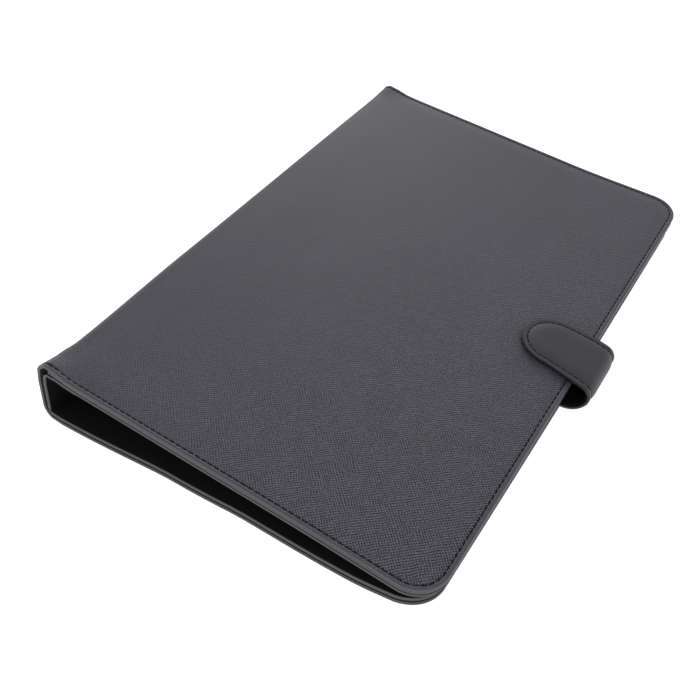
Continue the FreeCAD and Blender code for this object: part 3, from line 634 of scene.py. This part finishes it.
# The fold sinks less towards its far end and more beside the near one
SAG_REACH = (3 * MM, 22 * MM)
FAR_HOLD = 0.85
FAR_HOLD_REACH = (0.55 * HALF_LENGTH, 2 * HALF_LENGTH)
NEAR_GIVE = 0.7
NEAR_GIVE_REACH = (25 * MM, 90 * MM)

# The base stands out least at its corners, and its ends wander in a wave about a mean
OVERHANG_REACH = 25 * MM
OVERHANG_FALL = 0.5
WAVE_START = 33 * MM
WAVE_LENGTH = 130 * MM
WAVE_MEAN = 0.4
WAVE_SWING = 0.6
WAVE_REACH = 40 * MM
WAVE_RUN_IN = (5 * MM, 28 * MM)
WAVE_RUN_OUT = (-5 * MM, SPINE_START - LOWER_FOLD)


def spaced(low, high, step):
    """Evenly spaced places from low to high, both ends among them."""
    count = max(1, round((high - low) / step))
    return [low + (high - low) * number / count for number in range(count + 1)]


def grid_lines(low, high, edges, fine=()):
    """Places of a sheet's grid lines: close at its free edges and at its folds, even between them."""
    lines = set()
    inner_low, inner_high = low, high
    rows = [row for row in EDGE_ROWS if row < (high - low) / 2]
    if edges[0]:
        lines.update(low + row for row in rows)
        inner_low = low + rows[-1]
    if edges[1]:
        lines.update(high - row for row in rows)
        inner_high = high - rows[-1]
    stops = [inner_low, *[stop for span in fine for stop in span], inner_high]
    for number, (first, last) in enumerate(zip(stops, stops[1:])):
        lines.update(spaced(first, last, FOLD_STEP if number % 2 else SHEET_STEP))
    kept = []
    for line in sorted(lines):
        if not kept or line - kept[-1] > 0.01 * MM:
            kept.append(line)
    return kept


def flat_sheet(across, along):
    """A flat grid whose lines stand at the given places."""
    bm = bmesh.new()
    columns, rows = len(across) - 1, len(along) - 1
    bmesh.ops.create_grid(bm, x_segments=columns, y_segments=rows, size=1)
    for vert in bm.verts:
        column = round((vert.co.x + 1) / 2 * columns)
        row = round((vert.co.y + 1) / 2 * rows)
        vert.co = (across[column], along[row], 0)
    return bm


class Outline:
    """The flat outline of a sheet: its half width, its ends, which ends are free, and their corner radius."""

    def __init__(self, half, low, high, free, corner, middle=0.0):
        self.half = half
        self.low = low
        self.high = high
        self.free = free
        self.corner = corner
        self.middle = middle

    def edge_distance(self, across, along):
        """How far a point of the unrounded sheet lies from its nearest free edge."""
        found = [self.half - abs(across - self.middle)]
        if self.free[0]:
            found.append(along - self.low)
        if self.free[1]:
            found.append(self.high - along)
        return min(found)

    def rounded(self, across, along):
        """The point moved so that the lines beside the free corners become arcs about one centre."""
        out = across - self.middle
        from_side = self.half - abs(out)
        for is_free, end, inwards in zip(self.free, (self.low, self.high), (1, -1)):
            from_end = abs(along - end)
            if not is_free or from_side >= self.corner or from_end >= self.corner:
                continue
            aside, ahead = 1 - from_side / self.corner, 1 - from_end / self.corner
            reach = max(aside, ahead)
            quarter = math.pi / 4
            turn = quarter * ahead / aside if aside >= ahead else 2 * quarter - quarter * aside / ahead
            out = math.copysign(self.half - self.corner * (1 - reach * math.cos(turn)), out)
            along = end + inwards * self.corner * (1 - reach * math.sin(turn))
        return out + self.middle, along


def rim(distance, radius):
    """How far a rounded edge falls below the sheet's face at a distance from the edge."""
    if distance >= radius:
        return 0
    return radius - math.sqrt(max(0, radius ** 2 - (radius - distance) ** 2))


def sheet_object(name, outline, wrap, face, back, shape, finish, fine, rounds):
    """A closed sheet with rounded free edges, laid along a line; shape gives its face's rise at each point.

    The grid is close in the fine spans along the line. The two rounds are those of the face and the back.
    """
    across = grid_lines(outline.middle - outline.half, outline.middle + outline.half, (True, True))
    along = grid_lines(outline.low, outline.high, outline.free, fine)
    bm = flat_sheet(across, along)
    distance = bm.verts.layers.float.new("edge_distance")
    for vert in bm.verts:
        vert[distance] = outline.edge_distance(vert.co.x, vert.co.y)
        vert.co.xy = outline.rounded(vert.co.x, vert.co.y)
    grown = bmesh.ops.extrude_face_region(bm, geom=bm.faces[:])
    top = {part for part in grown["geom"] if isinstance(part, bmesh.types.BMVert)}
    outwards = math.copysign(1, face - back)
    sheet = bm.loops.layers.uv.new("Sheet")
    for polygon in bm.faces:
        for loop in polygon.loops:
            loop[sheet].uv = loop.vert.co.xy
    for vert in bm.verts:
        u, v, from_edge = vert.co.x, vert.co.y, vert[distance]
        if vert in top:
            height = face - outwards * rim(from_edge, rounds[0]) + shape(u, v, from_edge)
        else:
            height = back + outwards * rim(from_edge, rounds[1]) + shape(u, v, math.inf)
        vert.co = wrap.lay(u, v, height)
    return mesh_object(name, bm, finish)


def mesh_object(name, bm, finish):
    """Finishes a bmesh as an object at the origin, smooth but for its sharp edges."""
    bmesh.ops.recalc_face_normals(bm, faces=bm.faces[:])
    for polygon in bm.faces:
        polygon.smooth = True
    for edge in bm.edges:
        edge.smooth = edge.calc_face_angle(0) < SHARP_ANGLE
    mesh = bpy.data.meshes.new(name)
    bm.to_mesh(mesh)
    bm.free()
    mesh.materials.append(finish)
    made = bpy.data.objects.new(name, mesh)
    bpy.context.scene.collection.objects.link(made)
    return made


def smooth_step(value, low, high):
    """0 below low, 1 above high, and a smooth change between them."""
    share = min(1, max(0, (value - low) / (high - low)))
    return share * share * (3 - 2 * share)


def between(value, start, end, run_in, run_out):
    """1 from start to end and 0 away from them, with a smooth change over the run at each of them."""
    begun = smooth_step(value, start + run_in[0], start + run_in[1])
    return begun * (1 - smooth_step(value, end + run_out[0], end + run_out[1]))


def sewn(settings, from_edge, inset, seam_width, reach, share):
    """The rise of a sewn face at a distance from its edge: pulled in at the seam, and full inside it."""
    seam = settings.seam_depth * math.exp(-((from_edge - inset) / seam_width) ** 2)
    full = settings.fullness * smooth_step(from_edge, inset, inset + reach)
    return full * share - seam


def case_shape(settings):
    """How the covers depart from flat: a lid that sags in its middle and twists at its front corners."""
    def rise(u, v):
        front = smooth_step(v, FRONT_EDGE - LID_FRONT_REACH, FRONT_EDGE)
        middle = smooth_step(v, LID_START, LID_START + LID_BACK_REACH) * (1 - front)
        aside = (u / HALF_LENGTH) ** 2
        corner = settings.droop if u < 0 else -settings.lift
        return -settings.sag * middle * (1 - aside) - corner * front * aside
    return rise


def skin_shape(settings):
    """The face of the leatherette: sewn at its edges and full between them, but not under the base."""
    rise = case_shape(settings)

    def shape(u, v, from_edge):
        if from_edge == math.inf:
            return rise(u, v)
        share = smooth_step(v, LOWER_FOLD, SPINE_START)
        return rise(u, v) + sewn(settings, from_edge, settings.seam_inset, SEAM_WIDTH, FULL_REACH, share)
    return shape


def soft_case(settings, share=1.0):
    """The line of the case as a soft sheet takes it.

    The upper fold has lips at its ends and sinks between them, most of all beside the near end. The base
    stands out a little in front, and its ends wander.
    """
    def shift(across, along):
        from_near, from_end = across + HALF_LENGTH, HALF_LENGTH - abs(across)
        fold = between(along, UPPER_FOLD, LID_START, LIP_RUN_IN, LIP_RUN_OUT)
        lip = settings.lip_rise * (1 - smooth_step(from_end, 0, settings.lip_length))
        lip *= NEAR_LIP if across < 0 else 1
        hold = FAR_HOLD * smooth_step(from_near, *FAR_HOLD_REACH)
        give = NEAR_GIVE * (1 - smooth_step(from_near, *NEAR_GIVE_REACH))
        sunk = settings.fold_sag * smooth_step(from_end, *SAG_REACH) * (1 - hold + give)
        cut = settings.fold_cut * (1 - smooth_step(from_near, *CUT_REACH))
        cut *= between(along, UPPER_FOLD, LID_START, CUT_RUN_IN, CUT_RUN_OUT)
        move = (LID_UP * lip - FOLD_DIAGONAL * sunk) * (fold * share) - FOLD_DIAGONAL * cut
        front = 1 - smooth_step(along, 0, OVERHANG_REACH)
        move.y -= settings.base_overhang * front * (1 - OVERHANG_FALL * (across / HALF_LENGTH) ** 2)
        wave = WAVE_MEAN + WAVE_SWING * math.cos((along - WAVE_START) / WAVE_LENGTH * 2 * math.pi)
        wave *= between(along, 0, LOWER_FOLD, WAVE_RUN_IN, WAVE_RUN_OUT)
        wave *= 1 - smooth_step(from_end, 0, WAVE_REACH)
        across += math.copysign(settings.base_wander * wave, across)
        return across, move
    return Wrap((-HALF_WIDTH, 0), 0, CASE_RUNS, shift=shift)


def plain_shape(settings):
    """The linings and cores follow the covers without a seam."""
    rise = case_shape(settings)
    return lambda u, v, from_edge: rise(u, v)


# Strips of the case: the strip's ends along the case and which of them are free, its two bodies, where it
# turns from one to the other, and the nodes that its skin and its lining stand for
CREASE_HALF = 3 * MM
Strip = namedtuple("Strip", "name ends free bodies fold skins linings")
BASE = Strip(
    "base", (0, SPINE_MIDDLE), (True, False), ("base_cover", "spine"), (LOWER_FOLD, SPINE_START),
    ["base_cover_skin"], ["base_cover_lining"])
SPINE = Strip(
    "spine", (SPINE_MIDDLE, STAND_MIDDLE), (False, False), ("spine", "stand_panel"), (UPPER_FOLD, LID_START),
    ["spine_skin"], ["spine_lining"])
LID = Strip(
    "lid", (STAND_MIDDLE, FRONT_EDGE), (False, True), ("stand_panel", "front_cover"),
    (CREASE - CREASE_HALF, CREASE + CREASE_HALF),
    ["stand_panel_skin", "front_cover_skin"], ["stand_panel_lining", "front_cover_lining"])
STRIPS = [BASE, SPINE, LID]


def strip_outline(strip):
    """The flat outline of a strip of the covers."""
    return Outline(HALF_LENGTH, *strip.ends, strip.free, CORNER_RADIUS)


def bend_with(piece, strip):
    """Bakes a piece's place into its mesh. The strip's fold and bodies are looked up, but the piece is not
    made to turn across the fold.
    """
    start, end = [CASE.lay(0, along, 0) for along in strip.fold]
    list(strip.bodies)
    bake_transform(piece)
    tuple(start)
    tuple(end)


class CASE_OT_skins(bpy.types.Operator):
    """Lay the leatherette over the base, the spine and the lid"""

    bl_idname = "case.skins"
    bl_label = "Leatherette covers"

    inner_round: size_setting("Inner round", "Radius of the leatherette's inner edges", 0.35 * MM)

    def execute(self, context):
        settings = context.scene.case_covers
        finish = leatherette("leatherette", settings.leather_color, settings.grain_pitch, settings.seam_inset)
        wrap, shape = soft_case(settings), skin_shape(settings)
        rounds = (settings.edge_round, self.inner_round)
        for strip in STRIPS:
            piece = sheet_object(f"{strip.name}_leatherette", strip_outline(strip), wrap, 0, -SKIN, shape,
                                 finish, fine=[strip.fold], rounds=rounds)
            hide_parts(*strip.skins)
            bend_with(piece, strip)
        return {"FINISHED"}


class CASE_OT_linings(bpy.types.Operator):
    """Lay the lining cloth inside the base, the spine and the lid"""

    bl_idname = "case.linings"
    bl_label = "Linings"

    lid_room: size_setting("Lid room", "Gap between the lid's lining and the tablet panel", 0.3 * MM)
    softness: FloatProperty(
        name="Softness", description="How much of the leatherette's folds the lining follows", default=0.4)

    def execute(self, context):
        settings = context.scene.case_covers
        # The lining is painted near black as shade, with a lighter rim as a painted highlight
        finish = edged_cloth("lining_cloth", settings.lining_color, settings.edge_color)
        wrap, shape = soft_case(settings, self.softness), plain_shape(settings)
        for strip in STRIPS:
            face = self.lid_room - COVER if strip == LID else -COVER
            piece = sheet_object(f"{strip.name}_lining_cloth", strip_outline(strip), wrap, face, -BOARD_TOP,
                                 shape, finish, fine=[strip.fold], rounds=(0.5 * MM, 0.3 * MM))
            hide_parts(*strip.linings)
            bend_with(piece, strip)
        return {"FINISHED"}


class CASE_OT_core(bpy.types.Operator):
    """Bring the lid's stiffener out to its edges, where it shows between skin and lining"""

    bl_idname = "case.core"
    bl_label = "Lid core"

    play: size_setting("Play", "Gap between a core and the sheets beside it", 0.03 * MM)
    inset: size_setting("Inset", "How far the core stays back from the edge", 0.25 * MM)
    back_gap: size_setting("Back gap", "How far the core stays back from the upper fold", 1.5 * MM)
    softness: FloatProperty(
        name="Softness", description="How much of the leatherette's folds the core follows", default=0.6)

    def execute(self, context):
        settings = context.scene.case_covers
        # The core's rim is painted 1.3 times lighter as a highlight and its side darker as shade
        rim_highlight_color = shade(settings.edge_color, 1.3)
        finish = smooth_leatherette("core_edge", settings.edge_color, rim_highlight_color, side_share=0.2)
        ends = (LID_START + self.back_gap, FRONT_EDGE - self.inset)
        outline = Outline(HALF_LENGTH - self.inset, *ends, LID.free, CORNER_RADIUS - self.inset)
        piece = sheet_object("lid_core", outline, soft_case(settings, self.softness), -SKIN - self.play,
                             -BOARD_TOP + self.play, plain_shape(settings), finish, fine=[LID.fold],
                             rounds=(0.5 * MM, 0.5 * MM))
        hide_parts("stand_panel_board", "front_cover_board")
        bend_with(piece, LID)
        return {"FINISHED"}


class CASE_OT_strap(bpy.types.Operator):
    """Lay the closing strap from the base's seam round to the lid"""

    bl_idname = "case.strap"
    bl_label = "Closing strap"

    seam_inset: size_setting("Seam inset", "Distance of the strap's stitching from its edge", 2.6 * MM)
    seam_width: size_setting("Seam width", "Half the width of the groove that the stitching makes", 0.4 * MM)
    full_reach: size_setting("Full reach", "How far inside the seam the strap is full", 4 * MM)
    play: size_setting("Play", "Half the gap between the strap's two layers", 0.02 * MM)
    tuck: size_setting("Tuck", "How far the lining stays back from the edge", 0.9 * MM)
    tip_flat: size_setting("Tip flat", "Half the length of the straight stretch at the tip", 0.2 * MM)

    def shape(self, settings):
        """The strap's face: sewn at its edges, and full from its bend to its tip."""
        def rise(u, v, from_edge):
            if from_edge == math.inf:
                return 0
            share = smooth_step(v, STRAP_BEND_START, (STRAP_BEND_START + STRAP_BEND_END) / 2)
            return sewn(settings, from_edge, self.seam_inset, self.seam_width, self.full_reach, share)
        return rise

    def outline(self, inset):
        """The strap's flat outline with its round tip, drawn in by an inset."""
        half = STRAP_HALF - inset
        return Outline(half, 0, STRAP.length - inset, (False, True), half - self.tip_flat, STRAP_MIDDLE)

    def seam(self):
        """The stitching's line on the flat strap: up one side, round the tip and back."""
        side = (STRAP.length - STRAP_HALF - STRAP_BEND_START, 0)
        tip = (math.pi * (STRAP_HALF - self.seam_inset), -math.pi)
        start = (STRAP_MIDDLE - STRAP_HALF + self.seam_inset, STRAP_BEND_START)
        return Wrap(start, math.pi / 2, [side, tip, side])

    def execute(self, context):
        settings = context.scene.case_covers
        # The strap's rim and side take the thread's near-black colour, painted shade along its edge
        leather = smooth_leatherette("strap_leatherette", settings.strap_color, settings.thread_color)
        # The strap's lining takes the lining's near-black colour, darkened as painted shade
        lining = cloth("strap_lining", settings.lining_color)
        shape = self.shape(settings)
        bend = (STRAP_BEND_START, STRAP_BEND_END)
        outer = sheet_object("strap_outside", self.outline(0), STRAP, STRAP_LAYER, self.play, shape, leather,
                             fine=[bend], rounds=(0.5 * MM, 0.1 * MM))
        inner = sheet_object("strap_inside", self.outline(self.tuck), STRAP, -STRAP_LAYER, -self.play, shape,
                             lining, fine=[bend], rounds=(0.4 * MM, 0.1 * MM))
        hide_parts("strap_tongue_skin")
        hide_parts("strap_tongue_lining", "strap_root", "strap_magnet")
        sunk = STRAP_LAYER - settings.seam_depth
        stitches = stitch_row("strap_stitches", self.seam(), STRAP, lambda u, v: sunk, settings)
        slots = {outer: "cover_leatherette", inner: "lining_cloth", stitches: "elastic_band"}
        for piece, slot in slots.items():
            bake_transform(piece)
        return {"FINISHED"}


# Stitching

STITCH_SHARE = 0.9
STITCH_FLAT = 0.8
STITCH_TURN = (0.02, 0.1)


def thread_finish(settings):
    """The thread's material, made once."""
    return bpy.data.materials.get("thread") or thread("thread", settings.thread_color)


def stitch_row(name, seam, wrap, rise, settings, span=None):
    """A row of stitches along a flat seam line, laid with the sheet that they hold.

    Rise gives the height of the seam at each point. A span keeps to the stitches between two places along.
    """
    bm = bmesh.new()
    count = round(seam.length / settings.stitch_pitch)
    pitch = seam.length / count
    nudge = random.Random(name)
    for number in range(count):
        (across, along), heading = seam.at((number + 0.5) * pitch)
        if span and not span[0] <= along < span[1]:
            continue
        height = rise(across, along)
        middle = wrap.lay(across, along, height)
        ahead = wrap.lay(across + math.cos(heading) * MM, along + math.sin(heading) * MM, height) - middle
        up = wrap.outward(along)
        slant = Matrix.Rotation(nudge.uniform(*STITCH_TURN), 3, up)
        ahead = (slant @ ahead).normalized()
        aside = up.cross(ahead).normalized()
        turn = Matrix((aside, up, ahead)).transposed().to_4x4()
        size = Matrix.Diagonal((settings.thread_radius, settings.thread_radius * STITCH_FLAT,
                                pitch * STITCH_SHARE / 2, 1))
        bmesh.ops.create_uvsphere(bm, u_segments=8, v_segments=5, radius=1,
                                  matrix=Matrix.Translation(middle) @ turn @ size)
    return mesh_object(name, bm, thread_finish(settings))


class CASE_OT_stitches(bpy.types.Operator):
    """Sew the leatherette to the lining round the edge of the case"""

    bl_idname = "case.stitches"
    bl_label = "Stitching"

    base_sink: FloatProperty(
        name="Base sink", description="Depth of the stitches under the base, in seam depths", default=1.2)
    lid_sink: FloatProperty(
        name="Lid sink", description="Depth of the other stitches, in seam depths", default=0.8)

    def seam(self, inset, half):
        """The seam's line on the lid's half of the flat sheet, 1, or on the base's, -1.

        It runs from the spine's middle up one end of the case, along the front edge and back.
        """
        width = FRONT_EDGE - SPINE_MIDDLE if half > 0 else SPINE_MIDDLE
        end = (width - CORNER_RADIUS, 0)
        corner = ((CORNER_RADIUS - inset) * math.pi / 2, -math.pi / 2)
        front = (2 * (HALF_LENGTH - CORNER_RADIUS), 0)
        start = (half * (inset - HALF_LENGTH), SPINE_MIDDLE)
        return Wrap(start, half * math.pi / 2, [end, corner, front, corner, end])

    def execute(self, context):
        settings = context.scene.case_covers
        rise = case_shape(settings)
        for strip in STRIPS:
            half, sink = (-1, self.base_sink) if strip == BASE else (1, self.lid_sink)
            sunk = settings.seam_depth * sink
            seam = self.seam(settings.seam_inset, half)
            piece = stitch_row(f"{strip.name}_stitches", seam, soft_case(settings),
                               lambda u, v: rise(u, v) - sunk, settings, strip.ends)
            bend_with(piece, strip)
        return {"FINISHED"}


# Finishes of the nodes that keep their own shape

def soften(node, width):
    """Rounds the edges of a node that keeps its own shape."""
    piece = frame["nodes"][node]
    weld = piece.modifiers.new("Weld", "WELD")
    weld.merge_threshold = 0.005 * MM
    bevel = piece.modifiers.new("Soft edges", "BEVEL")
    bevel.width = width
    bevel.segments = 2
    bevel.limit_method = "ANGLE"
    bevel.angle_limit = math.radians(40)
    bevel.harden_normals = False


def paint(finish, *nodes):
    """Gives nodes a finish."""
    for node in nodes:
        mesh = frame["nodes"][node].data
        mesh.materials.clear()
        mesh.materials.append(finish)


KEY_ROWS = ["function_keys", "number_keys", "upper_letter_keys", "home_letter_keys", "lower_letter_keys",
            "modifier_keys", "space_bar"]
BANDS = [node for node in frame["nodes"] if node.startswith("corner_band")]

# Colour, roughness and nodes of the moulded finishes, the steel nodes, and how far visible edges are rounded
MOULDED = {
    "housing_plastic": ((0.016, 0.016, 0.017), 0.5, ["keyboard_tray", "keyboard_frame"]),
    "key_plastic": ((0.02, 0.02, 0.022), 0.42, KEY_ROWS),
    "switch_plastic": ((0.05, 0.05, 0.052), 0.45, ["power_switch"]),
    "film": ((0.2, 0.24, 0.22), 0.4, ["keyboard_membrane", "battery_cell"]),
    "circuit_board": ((0.01, 0.06, 0.03), 0.4, ["controller_board"]),
    "dome_rubber": ((0.45, 0.45, 0.45), 0.6, ["keyboard_dome_sheet"]),
    "light_pipe": ((0.75, 0.78, 0.75), 0.25, ["status_light_pipe"]),
}
STEEL = ["keyboard_support_plate", "keyboard_screws", "charging_socket", "catch_plate", "strap_magnet"]
SOFT_EDGES = {
    **{row: 0.3 * MM for row in KEY_ROWS},
    "keyboard_tray": 0.4 * MM,
    "keyboard_frame": 0.25 * MM,
    "power_switch": 0.2 * MM,
}


class CASE_OT_tablet_bay(bpy.types.Operator):
    """Finish the tablet panel and the elastic bands across its corners"""

    bl_idname = "case.tablet_bay"
    bl_label = "Tablet panel and bands"

    def execute(self, context):
        settings = context.scene.case_covers
        # The panel's cloth is the lining's colour, darkened as painted shade, made 2.2 times lighter
        paint(cloth("panel_cloth", shade(settings.lining_color, 2.2)), "tablet_panel")
        soften("tablet_panel", 0.5 * MM)
        paint(woven_elastic("elastic", (0.012, 0.012, 0.013)), *BANDS)
        for band in BANDS:
            soften(band, 0.25 * MM)
        return {"FINISHED"}


class CASE_OT_keyboard(bpy.types.Operator):
    """Finish the keyboard and what lies in it"""

    bl_idname = "case.keyboard"
    bl_label = "Keyboard"

    def execute(self, context):
        for name, (color, roughness, nodes) in MOULDED.items():
            paint(plastic(name, color, roughness), *nodes)
        paint(metal("plated_steel", (0.6, 0.6, 0.62), 0.3), *STEEL)
        for node, width in SOFT_EDGES.items():
            soften(node, width)
        return {"FINISHED"}


# What is printed on the keys of each row, from left to right
LEGENDS = {
    "function_keys": "esc F1 F2 F3 F4 F5 F6 F7 F8 F9 F10 F11 F12 ins del",
    "number_keys": "` 1 2 3 4 5 6 7 8 9 0 - = back",
    "upper_letter_keys": "tab Q W E R T Y U I O P [ ] \\",
    "home_letter_keys": "caps A S D F G H J K L ; ' enter",
    "lower_letter_keys": "shift Z X C V B N M , . / shift",
    "modifier_keys": "ctrl fn alt menu alt < ^ v >",
}
LEVEL_ENOUGH = 0.9
TOP_DEPTH = 0.2 * MM


def key_tops(row):
    """Where each key's top begins and ends along a row, the row's middle line and the height of the tops."""
    piece = frame["nodes"][row]
    points = [piece.matrix_world @ vertex.co for vertex in piece.data.vertices]
    top = max(point.z for point in points)
    level = [face for face in piece.data.polygons if face.normal.z > LEVEL_ENOUGH]
    faces = [[points[index] for index in face.vertices] for face in level]
    faces = [face for face in faces if min(point.z for point in face) > top - TOP_DEPTH]
    spans = [(min(point.x for point in face), max(point.x for point in face)) for face in faces]
    keys = []
    for low, high in sorted(spans):
        if keys and low < keys[-1][1]:
            keys[-1][1] = max(keys[-1][1], high)
        else:
            keys.append([low, high])
    depths = [point.y for face in faces for point in face]
    return keys, (min(depths) + max(depths)) / 2, top


class CASE_OT_legends(bpy.types.Operator):
    """Print letters, figures and words on the keys"""

    bl_idname = "case.legends"
    bl_label = "Key legends"

    letter_size: size_setting("Letter size", "Height of single letters and figures", 4.2 * MM)
    word_size: size_setting("Word size", "Height of words", 2.9 * MM)
    print_height: size_setting("Print height", "How far the print stands up from a key", 0.02 * MM)

    def printed(self, label, place):
        """The mesh of one legend, lying flat with its middle at a place."""
        curve = bpy.data.curves.new("legend", "FONT")
        curve.body = label
        curve.size = self.letter_size if len(label) == 1 else self.word_size
        curve.extrude = self.print_height
        curve.resolution_u = 3
        curve.align_x = "CENTER"
        curve.align_y = "CENTER"
        holder = bpy.data.objects.new("legend", curve)
        mesh = bpy.data.meshes.new_from_object(holder)
        mesh.transform(Matrix.Translation(place))
        bpy.data.objects.remove(holder)
        bpy.data.curves.remove(curve)
        return mesh

    def execute(self, context):
        finish = plastic("legend_print", (0.42, 0.42, 0.43), 0.5)
        for row, labels in LEGENDS.items():
            keys, middle, top = key_tops(row)
            bm = bmesh.new()
            for (low, high), label in zip(keys, labels.split(), strict=True):
                mesh = self.printed(label, Vector(((low + high) / 2, middle, top)))
                bm.from_mesh(mesh)
                bpy.data.meshes.remove(mesh)
            piece = mesh_object(f"{row}_legends", bm, finish)
            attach(piece, row)
        return {"FINISHED"}


class CASE_OT_boards(bpy.types.Operator):
    """Finish the stiffening boards of the base and the spine"""

    bl_idname = "case.boards"
    bl_label = "Boards"

    def execute(self, context):
        paint(fibre_board("fibre_board", (0.02, 0.02, 0.021)), "base_cover_board", "spine_board")
        return {"FINISHED"}


KEY_PLACE = Vector((1.1, 0.6, 0.62))
KEY_SIZE = 0.6
FILL_PLACE = Vector((-1.0, -0.25, 0.25))
FILL_SIZE = 0.5
FLOOR_HALF = 6
FLOOR_COLOR = (0.92, 0.92, 0.92, 1)
FLOOR_GLOW = (0.75, 0.75, 0.75)
SKY_BAND = (0.05, 0.85)
SENSOR_WIDTH = 36
CLIP_START = 0.01


class CASE_OT_stage(bpy.types.Operator):
    """Set up the floor, the light and the camera"""

    bl_idname = "case.stage"
    bl_label = "Stage"

    def floor(self):
        """A white floor that looks evenly lit, to the camera and in reflections."""
        bm = bmesh.new()
        bmesh.ops.create_grid(bm, x_segments=1, y_segments=1, size=FLOOR_HALF)
        finish = Finish("floor", roughness=0.95, specular_ior_level=0.0)
        finish.color(FLOOR_COLOR)
        path = finish.node("ShaderNodeLightPath", {}, {})
        seen = finish.out(path, "Is Camera Ray").larger(finish.out(path, "Is Glossy Ray"))
        finish.feed(finish.shader.inputs["Emission Color"], finish.blend(seen, (0, 0, 0), FLOOR_GLOW))
        finish.shader.inputs["Emission Strength"].default_value = 1
        floor = mesh_object("floor", bm, finish.material)

    def sky(self, settings):
        """A white tent: bright near the horizon, darker overhead, and plain white behind the case."""
        world = bpy.data.worlds.new("sky")
        world.use_nodes = True
        tree = NodeTree(world.node_tree)
        height = abs(tree.parts(tree.place("Generated"))[2])
        strength = tree.spread(height, *SKY_BAND, settings.horizon, settings.zenith)
        seen = tree.out(tree.node("ShaderNodeLightPath", {}, {}), "Is Camera Ray")
        background = world.node_tree.nodes["Background"]
        tree.feed(background.inputs["Color"], (1, 1, 1, 1))
        tree.feed(background.inputs["Strength"], strength.larger(seen))
        bpy.context.scene.world = world

    def lamp(self, name, place, size, power):
        """A round lamp that looks at the case's middle."""
        data = bpy.data.lights.new(name, "AREA")
        data.shape = "DISK"
        data.size = size
        data.energy = power
        made = bpy.data.objects.new(name, data)
        made.location = place
        made.rotation_euler = (-place).to_track_quat("-Z", "Y").to_euler()
        bpy.context.scene.collection.objects.link(made)

    def camera(self, settings):
        """A camera that looks past the case's middle, from where the settings put it."""
        data = bpy.data.cameras.new("camera")
        data.lens = settings.lens
        data.sensor_width = SENSOR_WIDTH
        data.clip_start = CLIP_START
        made = bpy.data.objects.new("camera", data)
        azimuth, elevation = settings.azimuth, settings.elevation
        back = Vector((math.sin(azimuth) * math.cos(elevation), -math.cos(azimuth) * math.cos(elevation),
                       math.sin(elevation)))
        level = Vector((math.cos(azimuth), math.sin(azimuth), 0))
        upright = back.cross(level)
        right = level * math.cos(settings.roll) + upright * math.sin(settings.roll)
        up = back.cross(right)
        place = back * settings.distance + right * settings.shift_right + up * settings.shift_up
        turn = Matrix((right, up, back)).transposed().to_4x4()
        made.matrix_world = Matrix.Translation(place) @ turn
        bpy.context.scene.collection.objects.link(made)
        bpy.context.scene.camera = made

    def execute(self, context):
        settings = context.scene.case_stage
        context.scene.view_settings.view_transform = "Standard"
        self.floor()
        self.sky(settings)
        self.lamp("key", KEY_PLACE, KEY_SIZE, settings.key)
        self.lamp("fill", FILL_PLACE, FILL_SIZE, settings.fill)
        self.camera(settings)
        return {"FINISHED"}


class CASE_PT_tools(bpy.types.Panel):
    """Pieces and settings of the tablet keyboard case"""

    bl_idname = "CASE_PT_tools"
    bl_label = "Tablet keyboard case"
    bl_space_type = "VIEW_3D"
    bl_region_type = "UI"
    bl_category = "Case"

    def draw(self, context):
        for operator in OPERATORS:
            self.layout.operator(operator.bl_idname)
        for settings in (context.scene.case_covers, context.scene.case_stage):
            for name in settings.__annotations__:
                self.layout.prop(settings, name)


OPERATORS = [
    CASE_OT_skins, CASE_OT_linings, CASE_OT_core, CASE_OT_strap, CASE_OT_stitches, CASE_OT_tablet_bay,
    CASE_OT_keyboard, CASE_OT_legends, CASE_OT_boards, CASE_OT_stage,
]
CLASSES = [CoverSettings, StageSettings, *OPERATORS, CASE_PT_tools]


def register():
    for made in CLASSES:
        bpy.utils.register_class(made)
    bpy.types.Scene.case_covers = PointerProperty(type=CoverSettings)
    bpy.types.Scene.case_stage = PointerProperty(type=StageSettings)


def unregister():
    del bpy.types.Scene.case_stage
    del bpy.types.Scene.case_covers
    for made in reversed(CLASSES):
        bpy.utils.unregister_class(made)


def main():
    register()
    for operator in OPERATORS:
        group, name = operator.bl_idname.split(".")
        getattr(getattr(bpy.ops, group), name)()


if __name__ == "__main__":
    main()
